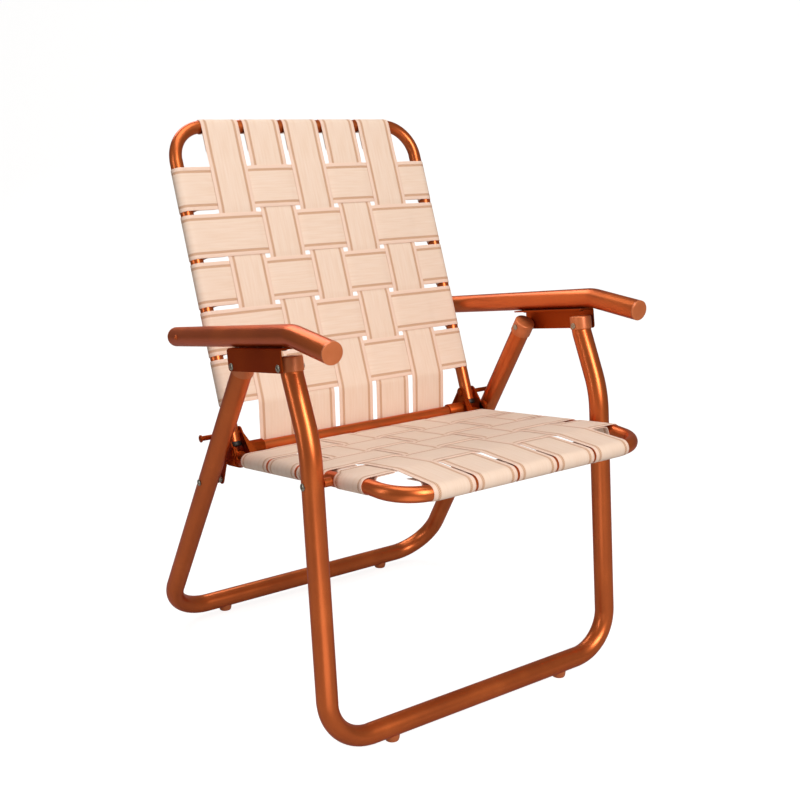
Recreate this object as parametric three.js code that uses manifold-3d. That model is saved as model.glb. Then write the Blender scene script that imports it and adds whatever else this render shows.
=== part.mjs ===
// Folding lawn chair: two bent-tube leg frames, two arms, a seat frame and a back frame,
// woven with flat webbing straps. Millimetres, +Z up. The chair faces -Y and the sitter's
// left hand is on +X. The origin is on the floor, under the middle of the open chair.
//
// Places in the side view are given as [y, z], with y measured back from the front floor bar
// and z measured up from the floor. The whole chair is moved to its origin at the end.

import * as THREE from 'three';
import { mergeVertices } from 'three/addons/utils/BufferGeometryUtils.js';
import Module from 'manifold-3d';

const wasm = await Module();
wasm.setup();

// Clearances
const fitGap = 0.3;              // between a piece and what it seats on
const spigotGap = 0.6;           // round a plug inside its tube
const cutOver = 2;               // how far a cutting tool runs past the face it cuts
const weldTolerance = 0.001;

// Tube stock
const legRadius = 14.3;
const legWall = 1.2;
const armRadius = 14.3;
const armWall = 1.2;
const frameRadius = 9.8;         // seat frame and back frame
const frameWall = 1.2;
const barRadius = 8;             // cross bar at the back of the seat
const barWall = 1.2;

// Webbing
const webThickness = 1;
const webStep = 0.75;            // how far a strap's middle rises or sinks at a crossing
const wrapGap = 0.5;             // between a strap and the tube it goes round
const strapSplit = 1.2;          // between the back and seat halves of a long strap
const tailLength = 42;           // sewn end of a strap behind its tube
const tailDrop = 2.3;            // its middle, under the strap's

// Front leg frame
const footDrop = 6;              // floor to the underside of a floor bar
const legOutset = 28.9;          // legs' axes at the top, outboard of the back's side tubes
const frontSpread = 1.7;         // floor bar's half length beyond the legs' tops
const frontCornerRadius = 62;
const kneeY = 38.2;
const kneeZ = 414.2;
const kneeRadius = 150;
const shoulderY = 78.4;
const shoulderZ = 498.2;
const shoulderRadius = 25;
const frontPivotY = 80;
const frontPivotZ = 507;
const frontTopAbovePivot = 12;

// Rear leg frame
const rearSpread = 16.2;
const rearCornerRadius = 70;
const rearPivotY = 209;
const rearPivotZ = 485.5;
const rearTopAbovePivot = 8.5;

// Leg end caps
const capWall = 1;
const capGap = 0.5;
const capTop = 1.4;
const frontCapSkirt = 19;
const rearCapSkirt = 22;
const capChamfer = 1.2;

// Feet
const footRadius = 10.7;
const footTip = 9.6;
const frontFootInset = 96;       // in from the ends of the floor bar's axis
const rearFootInset = 103.5;
const footGrip = 4.6;            // how far a foot's saddle reaches up round its bar

// Arms
const armOutset = 5.7;           // arm tube's axis, outboard of the legs' tops
const armAxisRise = 39.1;        // arm tube's axis above the line through the leg pivots
const armFront = 109.5;          // arm's front end, ahead of the front pivot
const armFrontDrop = 20.2;
const armKnee = 22.6;            // bend, ahead of the front pivot
const armKneeRadius = 45;
const armRear = 332;             // tube's rear end, behind the front pivot
const armCapLip = 3;
const armCapRound = 1.2;
const armCapSpigot = 12;
const armDomeLength = 10;

// Arm brackets
const bracketPlate = 2.2;
const bracketBelow = 6;          // plate's lower edge, under the pivots
const bracketAhead = 9.5;        // plate's ends, past the pivots
const bracketBend = 4;
const bracketFlange = 26;        // width of the flange under the arm
const bracketLegGap = 0.6;
const screwInset = 12;           // flange screws, in from the flange's ends
const screwRadius = 2.2;
const screwHeadRadius = 4;
const screwHeadHeight = 1.8;
const screwLength = 12;

// Rivets
const rivetRadius = 2.8;
const rivetHeadRadius = 5;
const rivetHeadHeight = 1.9;
const rivetTailRadius = 4.4;
const rivetTailHeight = 0.6;

// Seat frame. Its own frame starts at the seat pivot, with y back along the rails.
const seatPivotZ = 366.5;
const seatTilt = 8.7;            // degrees, rails rising to the front
const seatRailBack = 287.8;      // pivot to the rails' rear ends
const seatBendAhead = 67.2;      // pivot to where the rails turn down
const seatFrontAhead = 129.6;    // pivot to the front rail's axis
const seatFrontDrop = 9.2;       // front rail's axis, under the rails
const seatRearOutset = 0.1;      // rails' rear ends, outboard of the back's side tubes
const seatTaper = 8.7;           // how far each rail closes in from there to its bend
const seatFrontTaper = 7.9;      // and from the bend to the front rail
const seatCornerRadius = 51;
const seatBendRadius = 60;

// Cross bar and hinge brackets, in the seat's frame
const barBack = 274.5;           // straight under the hinge pins
const barRise = 11.8;
const hingeBack = 277.6;
const hingeRise = 36.9;
const earPlate = 2.2;
const innerEarRoom = 0.8;        // between the inner ear and the back's side tube
const outerEarRoom = 1;
const earTopRadius = 9;
const earTopSweep = [20, 150];   // degrees, from the ear's rear edge round to its front edge
const sleeveRadius = 10.6;
const sleeveClear = 1.35;        // between the sleeve and the outermost long strap
const socketRadius = 12.2;
const socketFront = 259;
const socketBack = 288.5;
const earFront = 243;
const earBack = 302;
const earFoot = 3;               // ears' lower edge, above the rail's axis
const earFlangeWide = 14;
const earFlangeNarrow = 3;
const pinRadius = 3.6;
const pinHeadRadius = 5.4;
const pinHeadHeight = 2.2;
const pinRest = 7.4754;          // between the pin and the rear leg that it bears on
const pinReach = 21.7;           // pin's outboard end, beyond the legs' axes

// Back frame. Its own frame starts at the hinge pin, with z up along the side tubes.
const recline = 21.7;            // degrees back from upright
const sideMargin = 46.25;        // side tube's axis, beyond the outermost long strap's edge
const topMargin = 65.6;          // top rail's axis, beyond the highest cross strap's edge
const backTail = 12.9;           // side tubes' ends, under the hinge pin
const backCornerRadius = 53;
const plugLip = 7;
const plugSpigot = 8;

// Straps of the back
const crossStrapWidth = 66;
const longStrapWidth = 61.5;     // the same on the seat, where the long straps carry on
const uprightSpacing = 7.7;      // between long straps on the back
const crosswiseSpacing = 6.2;    // between cross straps on the back
const lowestCrosswise = 74.8;    // middle of the lowest cross strap, above the hinge pin
const uprightCount = 5;
const crosswiseCount = 5;

// Straps of the seat
const foreSpacing = 3.8;         // between long straps at the front rail
const sideStrapEdges = [         // front and back edges, back from the seat pivot
  [166, 239],
  [89.5, 160],
  [18.5, 83.5],
  [-61, 12],
];
const pivotRoom = 7.5;           // a strap's edge on the rail stays this far from the pivot

// Links between the seat and the rear legs
const linkPinBack = 251.4;       // pivot on the hinge bracket, in the seat's frame
const linkPinRise = 13.2;
const linkPinRadius = 3;
const linkPlate = 2;
const linkRoom = 0.5;            // between a link and the outer ear
const linkEnd = 8.5;
const linkElbowBack = 281;
const linkElbowDrop = 9;
const linkRivetZ = 292;
const linkPinHeadRadius = 5.5;
const linkPinHeadHeight = 1.6;
const spacerRadius = 6;

// Fineness
const tubeSides = 12;
const capSides = 16;              // caps, plugs, sleeves and sockets
const smallSides = 10;           // rivets, pins, screws and their holes
const arcStep = 17;              // degrees of bend for each step of a tube
const roundingSteps = 6;
const wrapSteps = 7;
const wrapSweep = 210;           // the most a strap turns round its tube, in degrees
const cornerSteps = 5;           // across a strap that meets a corner bend

const copper = { color: 0xb5592f, roughness: 0.36, metalness: 0.7 };
const copperShade = { color: 0x9c4622, roughness: 0.4, metalness: 0.7 };
const webbing = { color: 0xf3d5bc, roughness: 0.9, metalness: 0 };
const steel = { color: 0xb9b4ac, roughness: 0.3, metalness: 0.95 };
const blackPlastic = { color: 0x17130f, roughness: 0.55, metalness: 0 };

const sides = [
  { word: 'right', sign: -1 },
  { word: 'left', sign: 1 },
];

const radians = THREE.MathUtils.degToRad;

// Turns a point [y, z] of the side view by an angle, as a turn about X does.
function turned([y, z], degrees) {
  const angle = radians(degrees);
  return [y * Math.cos(angle) - z * Math.sin(angle), y * Math.sin(angle) + z * Math.cos(angle)];
}

// Half widths, and the back's height, worked out from the webbing outwards
const uprightPitch = longStrapWidth + uprightSpacing;
const crosswisePitch = crossStrapWidth + crosswiseSpacing;
const foreFrontPitch = longStrapWidth + foreSpacing;
const outerStrapEdge = uprightPitch * (uprightCount - 1) / 2 + longStrapWidth / 2;
const backHalf = outerStrapEdge + sideMargin;
const seatRearHalf = backHalf + seatRearOutset;
const seatBendHalf = seatRearHalf - seatTaper;
const seatFrontHalf = seatBendHalf - seatFrontTaper;
const backHeight = lowestCrosswise + (crosswiseCount - 1) * crosswisePitch + crossStrapWidth / 2 + topMargin;
const legTopHalf = backHalf + legOutset;
const frontBarHalf = legTopHalf + frontSpread;
const rearBarHalf = legTopHalf + rearSpread;
const armHalf = legTopHalf + armOutset;
const innerEarFace = backHalf - frameRadius - innerEarRoom - earPlate;
const outerEarFace = backHalf + frameRadius + outerEarRoom;
const linkFace = outerEarFace + earPlate + linkRoom;
const sleeveInner = outerStrapEdge + sleeveClear;
const pinEnd = legTopHalf + pinReach;

// Places that several pieces share
const barZ = footDrop + legRadius;
const frontLean = kneeY / (kneeZ - barZ);
const seatPivotY = frontLean * (seatPivotZ - barZ);
// A rear leg runs from its pivot past the front of the hinge pin, which bears on it.
const hingeInChair = [
  seatPivotY + turned([hingeBack, hingeRise], -seatTilt)[0],
  seatPivotZ + turned([hingeBack, hingeRise], -seatTilt)[1],
];
const pinBack = hingeInChair[0] - rearPivotY;
const pinDrop = rearPivotZ - hingeInChair[1];
const rearLean = Math.tan(Math.atan2(pinBack, pinDrop)
  - Math.asin((legRadius + pinRest + pinRadius) / Math.hypot(pinBack, pinDrop)));
const wheelbase = rearPivotY + rearLean * (rearPivotZ - barZ);
const linkRivetY = rearPivotY + rearLean * (rearPivotZ - linkRivetZ);
const rearSplay = (rearBarHalf - legTopHalf) / (rearPivotZ - barZ);
const rearHalfAt = (z) => legTopHalf + rearSplay * (rearPivotZ - z);
const frontHalfAt = (z) => legTopHalf + (frontBarHalf - legTopHalf) * (kneeZ - z) / (kneeZ - barZ);
const capRadius = legRadius + capGap + capWall;
const plateFace = legTopHalf + capRadius + bracketLegGap;
const armTilt = Math.atan2(frontPivotZ - rearPivotZ, rearPivotY - frontPivotY);
const pivotSpacing = Math.hypot(frontPivotZ - rearPivotZ, rearPivotY - frontPivotY);
const flangeTop = armAxisRise - armRadius - fitGap;
const wrapRadius = frameRadius / Math.cos(radians(wrapSweep) / wrapSteps / 2) + wrapGap + webThickness / 2;
const forePitchAt = (y) => (
  THREE.MathUtils.mapLinear(y, barBack, -seatFrontAhead, uprightPitch, foreFrontPitch));
const seatFrontSlope = seatFrontDrop / (seatFrontAhead - seatBendAhead);
const railHalfAt = (y) => seatBendHalf
  + (seatRearHalf - seatBendHalf) * (y + seatBendAhead) / (seatRailBack + seatBendAhead);

// A route through straight runs and round bends, with steps only where it bends.
class BentRoute extends THREE.Curve {
  constructor(corners, bendRadii) {
    super();
    const points = corners.map((corner) => new THREE.Vector3(...corner));
    const last = points.length - 1;
    const heading = (from, to) => to.clone().sub(from).normalize();
    this.stations = [{ point: points[0], tangent: heading(points[0], points[1]) }];
    for (let i = 1; i < last; i++) {
      const before = heading(points[i - 1], points[i]);
      const after = heading(points[i], points[i + 1]);
      this.addBend(before, after, points[i], bendRadii[i - 1]);
    }
    this.stations.push({ point: points[last], tangent: heading(points[last - 1], points[last]) });
  }

  addBend(before, after, corner, radius) {
    const angle = before.angleTo(after);
    const start = corner.clone().addScaledVector(before, -radius * Math.tan(angle / 2));
    const inward = after.clone().addScaledVector(before, -before.dot(after)).normalize();
    const steps = Math.max(2, Math.ceil(THREE.MathUtils.radToDeg(angle) / arcStep));
    for (let step = 0; step <= steps; step++) {
      const turn = angle * step / steps;
      this.stations.push({
        point: start.clone().addScaledVector(before, radius * Math.sin(turn))
          .addScaledVector(inward, radius * (1 - Math.cos(turn))),
        tangent: before.clone().multiplyScalar(Math.cos(turn)).addScaledVector(inward, Math.sin(turn)),
      });
    }
  }

  stationAt(u) {
    return this.stations[Math.round(u * (this.stations.length - 1))];
  }

  getPointAt(u) {
    return this.stationAt(u).point.clone();
  }

  getTangentAt(u) {
    return this.stationAt(u).tangent.clone();
  }
}

function circle(radius, count) {
  return Array.from({ length: count }, (_, i) => {
    const angle = 2 * Math.PI * i / count;
    return new THREE.Vector2(radius * Math.cos(angle), radius * Math.sin(angle));
  });
}

function tubeAlong(corners, bendRadii, radius, wall) {
  const route = new BentRoute(corners, bendRadii);
  const section = new THREE.Shape(circle(radius, tubeSides));
  section.holes.push(new THREE.Path(circle(radius - wall, tubeSides)));
  return new THREE.ExtrudeGeometry(section, { steps: route.stations.length - 1, extrudePath: route });
}

// Joins and cuts
function solidOf(geometry) {
  const bare = geometry.clone();
  bare.deleteAttribute('normal');
  bare.deleteAttribute('uv');
  const welded = mergeVertices(bare, weldTolerance);
  return new wasm.Manifold(new wasm.Mesh({
    numProp: 3,
    vertProperties: new Float32Array(welded.attributes.position.array),
    triVerts: new Uint32Array(welded.index.array),
  }));
}

function geometryOf(solid) {
  const mesh = solid.getMesh();
  const geometry = new THREE.BufferGeometry();
  geometry.setAttribute('position', new THREE.BufferAttribute(new Float32Array(mesh.vertProperties), 3));
  geometry.setIndex(new THREE.BufferAttribute(new Uint32Array(mesh.triVerts), 1));
  geometry.computeVertexNormals();
  return geometry;
}

function cut(geometry, tools) {
  return geometryOf(tools.reduce((body, tool) => body.subtract(solidOf(tool)), solidOf(geometry)));
}

function join(geometries) {
  return geometryOf(geometries.map(solidOf).reduce((body, next) => body.add(next)));
}

// The same shape on the other side of the chair
function mirrored(geometry) {
  const copy = geometry.index ? geometry.toNonIndexed() : geometry.clone();
  const position = copy.attributes.position;
  for (let i = 0; i < position.count; i += 3) {
    const corners = [0, 2, 1].map((k) => new THREE.Vector3().fromBufferAttribute(position, i + k));
    corners.forEach((corner, k) => position.setXYZ(i + k, -corner.x, corner.y, corner.z));
  }
  copy.computeVertexNormals();
  return copy;
}

function onSide(geometry, sign) {
  return sign > 0 ? geometry : mirrored(geometry);
}

// A round bar along X between two places, centred on [y, z]
function barAlongX(radius, from, to, [y, z]) {
  const sideCount = radius > barRadius ? capSides : smallSides;
  const bar = new THREE.CylinderGeometry(radius, radius, to - from, sideCount);
  bar.rotateZ(Math.PI / 2);
  bar.translate((from + to) / 2, y, z);
  return bar;
}

// A turned piece along X. Its profile is a list of [x, radius].
function turnedAlongX(profile, [y, z]) {
  const points = profile.map(([x, radius]) => new THREE.Vector2(radius, x));
  const piece = new THREE.LatheGeometry(points, smallSides);
  piece.rotateZ(-Math.PI / 2);
  piece.translate(0, y, z);
  return piece;
}

// A rivet whose head sits on its outer face and whose tail sits on its inner face
function rivet(innerFace, outerFace, centre) {
  return turnedAlongX([
    [innerFace - rivetTailHeight, 0],
    [innerFace - rivetTailHeight, rivetTailRadius],
    [innerFace, rivetTailRadius],
    [innerFace, rivetRadius],
    [outerFace, rivetRadius],
    [outerFace, rivetHeadRadius],
    [outerFace + rivetHeadHeight / 2, rivetHeadRadius],
    [outerFace + rivetHeadHeight, rivetHeadRadius / 2],
    [outerFace + rivetHeadHeight, 0],
  ], centre);
}

// A flat plate lying in the side view, with its inboard face at a place along X
function plateAtX(outline, face, thickness) {
  const shape = new THREE.Shape(outline.map(([y, z]) => new THREE.Vector2(y, z)));
  const plate = new THREE.ExtrudeGeometry(shape, { depth: thickness, bevelEnabled: false });
  plate.applyMatrix4(new THREE.Matrix4().makeBasis(
    new THREE.Vector3(0, 1, 0), new THREE.Vector3(0, 0, 1), new THREE.Vector3(1, 0, 0)));
  plate.translate(face, 0, 0);
  return plate;
}

function arcPoints([cy, cz], radius, fromDegrees, toDegrees, steps) {
  return Array.from({ length: steps + 1 }, (_, i) => {
    const angle = radians(fromDegrees + (toDegrees - fromDegrees) * i / steps);
    return [cy + radius * Math.cos(angle), cz + radius * Math.sin(angle)];
  });
}

// The outline of a strip whose middle line is given, at an even thickness
function stripOutline(line, thickness) {
  const points = line.map(([a, b]) => new THREE.Vector2(a, b));
  const normalOf = (p, q) => {
    const run = q.clone().sub(p).normalize();
    return new THREE.Vector2(-run.y, run.x);
  };
  const offsets = points.map((point, i) => {
    const before = i > 0 ? normalOf(points[i - 1], point) : normalOf(point, points[i + 1]);
    const after = i < points.length - 1 ? normalOf(point, points[i + 1]) : before;
    const middle = before.clone().add(after).normalize();
    return middle.multiplyScalar(thickness / 2 / middle.dot(before));
  });
  const left = points.map((point, i) => point.clone().add(offsets[i]));
  const right = points.map((point, i) => point.clone().sub(offsets[i]));
  return left.concat(right.reverse());
}

// A strap seen edge on, given width about its middle. Its line is in [along, height].
function strapGeometry(line, width, steps = 1) {
  const shape = new THREE.Shape(stripOutline(line, webThickness));
  const strap = new THREE.ExtrudeGeometry(shape, { depth: width, steps, bevelEnabled: false });
  strap.translate(0, 0, -width / 2);
  return strap;
}

// Moves each corner of a strap, so that the strap follows a tube that isn't straight
function shaped(strap, move) {
  const position = strap.attributes.position;
  const corner = new THREE.Vector3();
  for (let i = 0; i < position.count; i++) {
    corner.fromBufferAttribute(position, i);
    move(corner);
    position.setXYZ(i, corner.x, corner.y, corner.z);
  }
  strap.computeVertexNormals();
  return strap;
}

// How far a rail has drawn back from its straight run, at a place on its corner bend
function cornerSetback(x, railHalf, radius) {
  const past = Math.max(0, Math.abs(x) - (railHalf - radius));
  return radius - Math.sqrt(radius ** 2 - past ** 2);
}

// Where a point beside a rail goes when the rail there is on its corner bend. The point is
// given as its distance out from the rail's axis; the bend draws it in and cuts it slantwise.
function besideCorner(x, outward, railHalf, radius) {
  const setback = cornerSetback(x, railHalf, radius);
  return outward * radius / (radius - setback) - setback;
}

// Only the outermost long straps meet a corner bend.
function longStrapSteps(place) {
  return Math.abs(place) === (uprightCount - 1) / 2 ? cornerSteps : 1;
}

// The woven stretch of a strap: it runs high over the crossings where `over` is true.
function wovenStretch(crossings, plane) {
  return crossings.flatMap(({ from, to, over }) => {
    const height = plane + (over ? webStep : -webStep);
    return [[from, height], [to, height]];
  });
}

// The crossings a strap makes with a row of evenly spaced straps
function evenCrossings(count, first, pitch, width, isOver) {
  return Array.from({ length: count }, (_, i) => {
    const middle = first + i * pitch;
    return { from: middle - width / 2, to: middle + width / 2, over: isOver(i + 1) };
  });
}

// The angle, in degrees, at which a line from a point touches a circle round the origin
function touchAngle([a, h], radius, turn) {
  return THREE.MathUtils.radToDeg(Math.atan2(h, a) + turn * Math.acos(radius / Math.hypot(a, h)));
}

// The end of a strap: round its tube, then back to its own underside, where it is sewn down
function wrappedEnd([along, height], direction, strapHeight) {
  const tail = [-tailLength, strapHeight - tailDrop - height];
  const leaving = touchAngle(tail, wrapRadius, 1) - 360;
  const round = arcPoints([0, 0], wrapRadius, 90, leaving, wrapSteps);
  return [...round, tail].map(([a, h]) => [along + direction * a, height + h]);
}

const chair = new THREE.Group();

function addPiece(parent, name, geometry, look) {
  const mesh = new THREE.Mesh(geometry, new THREE.MeshStandardMaterial(look));
  mesh.name = name;
  parent.add(mesh);
  return mesh;
}

function groupAt(parent, y, z, tiltDegrees) {
  const group = new THREE.Group();
  group.position.set(0, y, z);
  group.rotation.x = radians(tiltDegrees);
  parent.add(group);
  return group;
}

// Leg frames
const frontTopHeading = new THREE.Vector3(0, frontPivotY - shoulderY, frontPivotZ - shoulderZ).normalize();
const rearTopHeading = new THREE.Vector3(-rearSplay, -rearLean, 1).normalize();
const pivotHole = rivetRadius + fitGap;

function frontLegFrame() {
  const top = frontTopHeading.clone().multiplyScalar(frontTopAbovePivot);
  const half = [
    [legTopHalf, frontPivotY + top.y, frontPivotZ + top.z],
    [legTopHalf, shoulderY, shoulderZ],
    [legTopHalf, kneeY, kneeZ],
    [frontBarHalf, 0, barZ],
  ];
  const other = half.map(([x, y, z]) => [-x, y, z]).reverse();
  const bends = [shoulderRadius, kneeRadius, frontCornerRadius];
  const tube = tubeAlong([...half, ...other], [...bends, ...bends.toReversed()], legRadius, legWall);
  const reach = frontBarHalf + legRadius + cutOver;
  return cut(tube, [
    barAlongX(pivotHole, -reach, reach, [frontPivotY, frontPivotZ]),
    barAlongX(pivotHole, -reach, reach, [seatPivotY, seatPivotZ]),
  ]);
}

function rearLegFrame() {
  const top = rearTopHeading.clone().multiplyScalar(rearTopAbovePivot);
  const half = [
    [legTopHalf + top.x, rearPivotY + top.y, rearPivotZ + top.z],
    [rearBarHalf, wheelbase, barZ],
  ];
  const other = half.map(([x, y, z]) => [-x, y, z]).reverse();
  const tube = tubeAlong([...half, ...other], [rearCornerRadius, rearCornerRadius], legRadius, legWall);
  const reach = rearBarHalf + legRadius + cutOver;
  return cut(tube, [
    barAlongX(pivotHole, -reach, reach, [rearPivotY, rearPivotZ]),
    barAlongX(pivotHole, -reach, reach, [linkRivetY, linkRivetZ]),
  ]);
}

// A cap over the top of a leg, with its pivot at the origin
function legCap(heading, sign, topAbovePivot, skirt) {
  const roof = topAbovePivot + fitGap;
  const inner = legRadius + capGap;
  const shell = new THREE.LatheGeometry([
    [0, roof],
    [inner, roof],
    [inner, roof + capTop - skirt],
    [capRadius, roof + capTop - skirt],
    [capRadius, roof + capTop - capChamfer],
    [capRadius - capChamfer, roof + capTop],
    [0, roof + capTop],
  ].map(([r, h]) => new THREE.Vector2(r, h)), capSides);
  const aim = new THREE.Vector3(sign * heading.x, heading.y, heading.z);
  shell.applyQuaternion(new THREE.Quaternion().setFromUnitVectors(new THREE.Vector3(0, 1, 0), aim));
  const reach = capRadius + cutOver;
  return cut(shell, [barAlongX(pivotHole, -reach, reach, [0, 0])]);
}

function foot(half, y, sign) {
  const height = footDrop + footGrip;
  const post = new THREE.CylinderGeometry(footRadius, footTip, height, capSides);
  post.rotateX(Math.PI / 2);
  post.translate(sign * half, y, height / 2);
  const reach = half + footRadius + cutOver;
  return cut(post, [barAlongX(legRadius + fitGap, -reach, reach, [y, barZ])]);
}

addPiece(chair, 'front_leg_frame', frontLegFrame(), copper);
addPiece(chair, 'rear_leg_frame', rearLegFrame(), copper);
for (const { word, sign } of sides) {
  const frontCap = addPiece(chair, `front_leg_cap_${word}`,
    legCap(frontTopHeading, sign, frontTopAbovePivot, frontCapSkirt), copperShade);
  frontCap.position.set(sign * legTopHalf, frontPivotY, frontPivotZ);
  const rearCap = addPiece(chair, `rear_leg_cap_${word}`,
    legCap(rearTopHeading, sign, rearTopAbovePivot, rearCapSkirt), copperShade);
  rearCap.position.set(sign * legTopHalf, rearPivotY, rearPivotZ);
  addPiece(chair, `front_foot_${word}`, foot(frontBarHalf - frontFootInset, 0, sign), copperShade);
  addPiece(chair, `rear_foot_${word}`, foot(rearBarHalf - rearFootInset, wheelbase, sign), copperShade);
}

// Arms, in a frame at the front pivot with y back along the arm
const arms = groupAt(chair, frontPivotY, frontPivotZ, -THREE.MathUtils.radToDeg(armTilt));
const armFrontHeading = new THREE.Vector3(0, armKnee - armFront, -armFrontDrop).normalize();
const screwPlaces = [screwInset - bracketAhead, pivotSpacing + bracketAhead - screwInset];

function screwTool(y) {
  const height = 2 * screwLength;
  const tool = new THREE.CylinderGeometry(screwRadius + fitGap, screwRadius + fitGap, height, smallSides);
  tool.rotateX(Math.PI / 2);
  tool.translate(armHalf, y, flangeTop);
  return tool;
}

function armTube() {
  const tube = tubeAlong([
    [armHalf, -armFront, armAxisRise - armFrontDrop],
    [armHalf, -armKnee, armAxisRise],
    [armHalf, armRear, armAxisRise],
  ], [armKneeRadius], armRadius, armWall);
  return cut(tube, screwPlaces.map(screwTool));
}

// A turned end cap: the lip's profile, then a spigot inside the tube
function armCap(lipProfile, heading, place) {
  const spigot = armRadius - armWall - spigotGap;
  const cap = new THREE.LatheGeometry([
    [0, -armCapSpigot],
    [spigot, -armCapSpigot],
    [spigot, fitGap],
    ...lipProfile,
  ].map(([r, h]) => new THREE.Vector2(r, h)), capSides);
  cap.applyQuaternion(new THREE.Quaternion().setFromUnitVectors(new THREE.Vector3(0, 1, 0), heading));
  cap.translate(...place);
  return cap;
}

function armFrontCap() {
  return armCap([
    [armRadius, fitGap],
    [armRadius, armCapLip - armCapRound],
    [armRadius - armCapRound, armCapLip],
    [0, armCapLip],
  ], armFrontHeading, [armHalf, -armFront, armAxisRise - armFrontDrop]);
}

function armRearCap() {
  const dome = Array.from({ length: roundingSteps + 1 }, (_, i) => {
    const angle = Math.PI / 2 * i / roundingSteps;
    return [i < roundingSteps ? armRadius * Math.cos(angle) : 0, fitGap + armDomeLength * Math.sin(angle)];
  });
  return armCap(dome, new THREE.Vector3(0, 1, 0), [armHalf, armRear, armAxisRise]);
}

// Plate outside the legs, bent over into a flange under the arm
function armBracket() {
  const outer = plateFace + bracketPlate;
  const inner = outer - bracketFlange;
  const low = flangeTop - bracketPlate;
  const bendCentre = [outer - bracketBend, flangeTop - bracketBend];
  const bendOuter = arcPoints(bendCentre, bracketBend, 0, 90, roundingSteps);
  const bendInner = arcPoints(bendCentre, bracketBend - bracketPlate, 90, 0, roundingSteps);
  const section = new THREE.Shape([
    [plateFace, -bracketBelow],
    [outer, -bracketBelow],
    ...bendOuter,
    [inner, flangeTop],
    [inner, low],
    ...bendInner,
  ].map(([x, z]) => new THREE.Vector2(x, z)));
  const length = pivotSpacing + 2 * bracketAhead;
  const plate = new THREE.ExtrudeGeometry(section, { depth: length, bevelEnabled: false });
  plate.rotateX(Math.PI / 2);
  plate.translate(0, length - bracketAhead, 0);
  const reach = outer + cutOver;
  return cut(plate, [
    barAlongX(pivotHole, inner, reach, [0, 0]),
    barAlongX(pivotHole, inner, reach, [pivotSpacing, 0]),
    ...screwPlaces.map(screwTool),
  ]);
}

function bracketScrew(y) {
  const head = flangeTop - bracketPlate - screwHeadHeight;
  const screw = new THREE.LatheGeometry([
    [0, head],
    [screwHeadRadius / 2, head],
    [screwHeadRadius, head + screwHeadHeight / 2],
    [screwHeadRadius, head + screwHeadHeight],
    [screwRadius, head + screwHeadHeight],
    [screwRadius, head + screwLength],
    [0, head + screwLength],
  ].map(([r, h]) => new THREE.Vector2(r, h)), smallSides);
  screw.rotateX(Math.PI / 2);
  screw.translate(armHalf, y, 0);
  return screw;
}

for (const { word, sign } of sides) {
  addPiece(arms, `arm_tube_${word}`, onSide(armTube(), sign), copper);
  addPiece(arms, `arm_front_cap_${word}`, onSide(armFrontCap(), sign), copperShade);
  addPiece(arms, `arm_rear_cap_${word}`, onSide(armRearCap(), sign), copperShade);
  addPiece(arms, `arm_bracket_${word}`, onSide(armBracket(), sign), copper);
  ['front', 'rear'].forEach((end, i) => {
    addPiece(arms, `${end}_bracket_screw_${word}`, onSide(bracketScrew(screwPlaces[i]), sign), steel);
    const legRivet = rivet(
      legTopHalf - capRadius - fitGap, plateFace + bracketPlate + fitGap, [i * pivotSpacing, 0]);
    addPiece(arms, `${end}_leg_rivet_${word}`, onSide(legRivet, sign), steel);
  });
}

// Seat, in a frame at the seat pivot with y back along the rails
const seat = groupAt(chair, seatPivotY, seatPivotZ, -seatTilt);
const barAt = [barBack, barRise];
const barEnd = innerEarFace + earPlate;
const hingeAt = [hingeBack, hingeRise];
const linkPinAt = [linkPinBack, linkPinRise];
const railAtPivot = railHalfAt(0);
const seatWebPlane = wrapRadius;

function seatFrame() {
  const half = [
    [seatRearHalf, seatRailBack, 0],
    [seatBendHalf, -seatBendAhead, 0],
    [seatFrontHalf, -seatFrontAhead, -seatFrontDrop],
  ];
  const other = half.map(([x, y, z]) => [-x, y, z]).reverse();
  const bends = [seatBendRadius, seatCornerRadius];
  const tube = tubeAlong([...half, ...other], [...bends, ...bends.toReversed()], frameRadius, frameWall);
  const reach = seatRearHalf + frameRadius + cutOver;
  return cut(tube, [barAlongX(pivotHole, -reach, reach, [0, 0])]);
}

// Shoulder rivet through the front leg and the seat rail
function seatRivet() {
  const legHalf = frontHalfAt(seatPivotZ);
  const railInner = railAtPivot - frameRadius - fitGap;
  const railOuter = railAtPivot + frameRadius + fitGap;
  const legInner = legHalf - legRadius - fitGap;
  const legOuter = legHalf + legRadius + fitGap;
  return turnedAlongX([
    [railInner - rivetTailHeight, 0],
    [railInner - rivetTailHeight, rivetTailRadius],
    [railInner, rivetTailRadius],
    [railInner, rivetRadius],
    [railOuter, rivetRadius],
    [railOuter, spacerRadius],
    [legInner, spacerRadius],
    [legInner, rivetRadius],
    [legOuter, rivetRadius],
    [legOuter, rivetHeadRadius],
    [legOuter + rivetHeadHeight / 2, rivetHeadRadius],
    [legOuter + rivetHeadHeight, rivetHeadRadius / 2],
    [legOuter + rivetHeadHeight, 0],
  ], [0, 0]);
}

// A plain tube, held in the sleeves of the two hinge brackets
function crossBar() {
  const bore = barRadius - barWall;
  return turnedAlongX([
    [-barEnd, bore],
    [-barEnd, barRadius],
    [barEnd, barRadius],
    [barEnd, bore],
    [-barEnd, bore],
  ], barAt);
}

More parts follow.
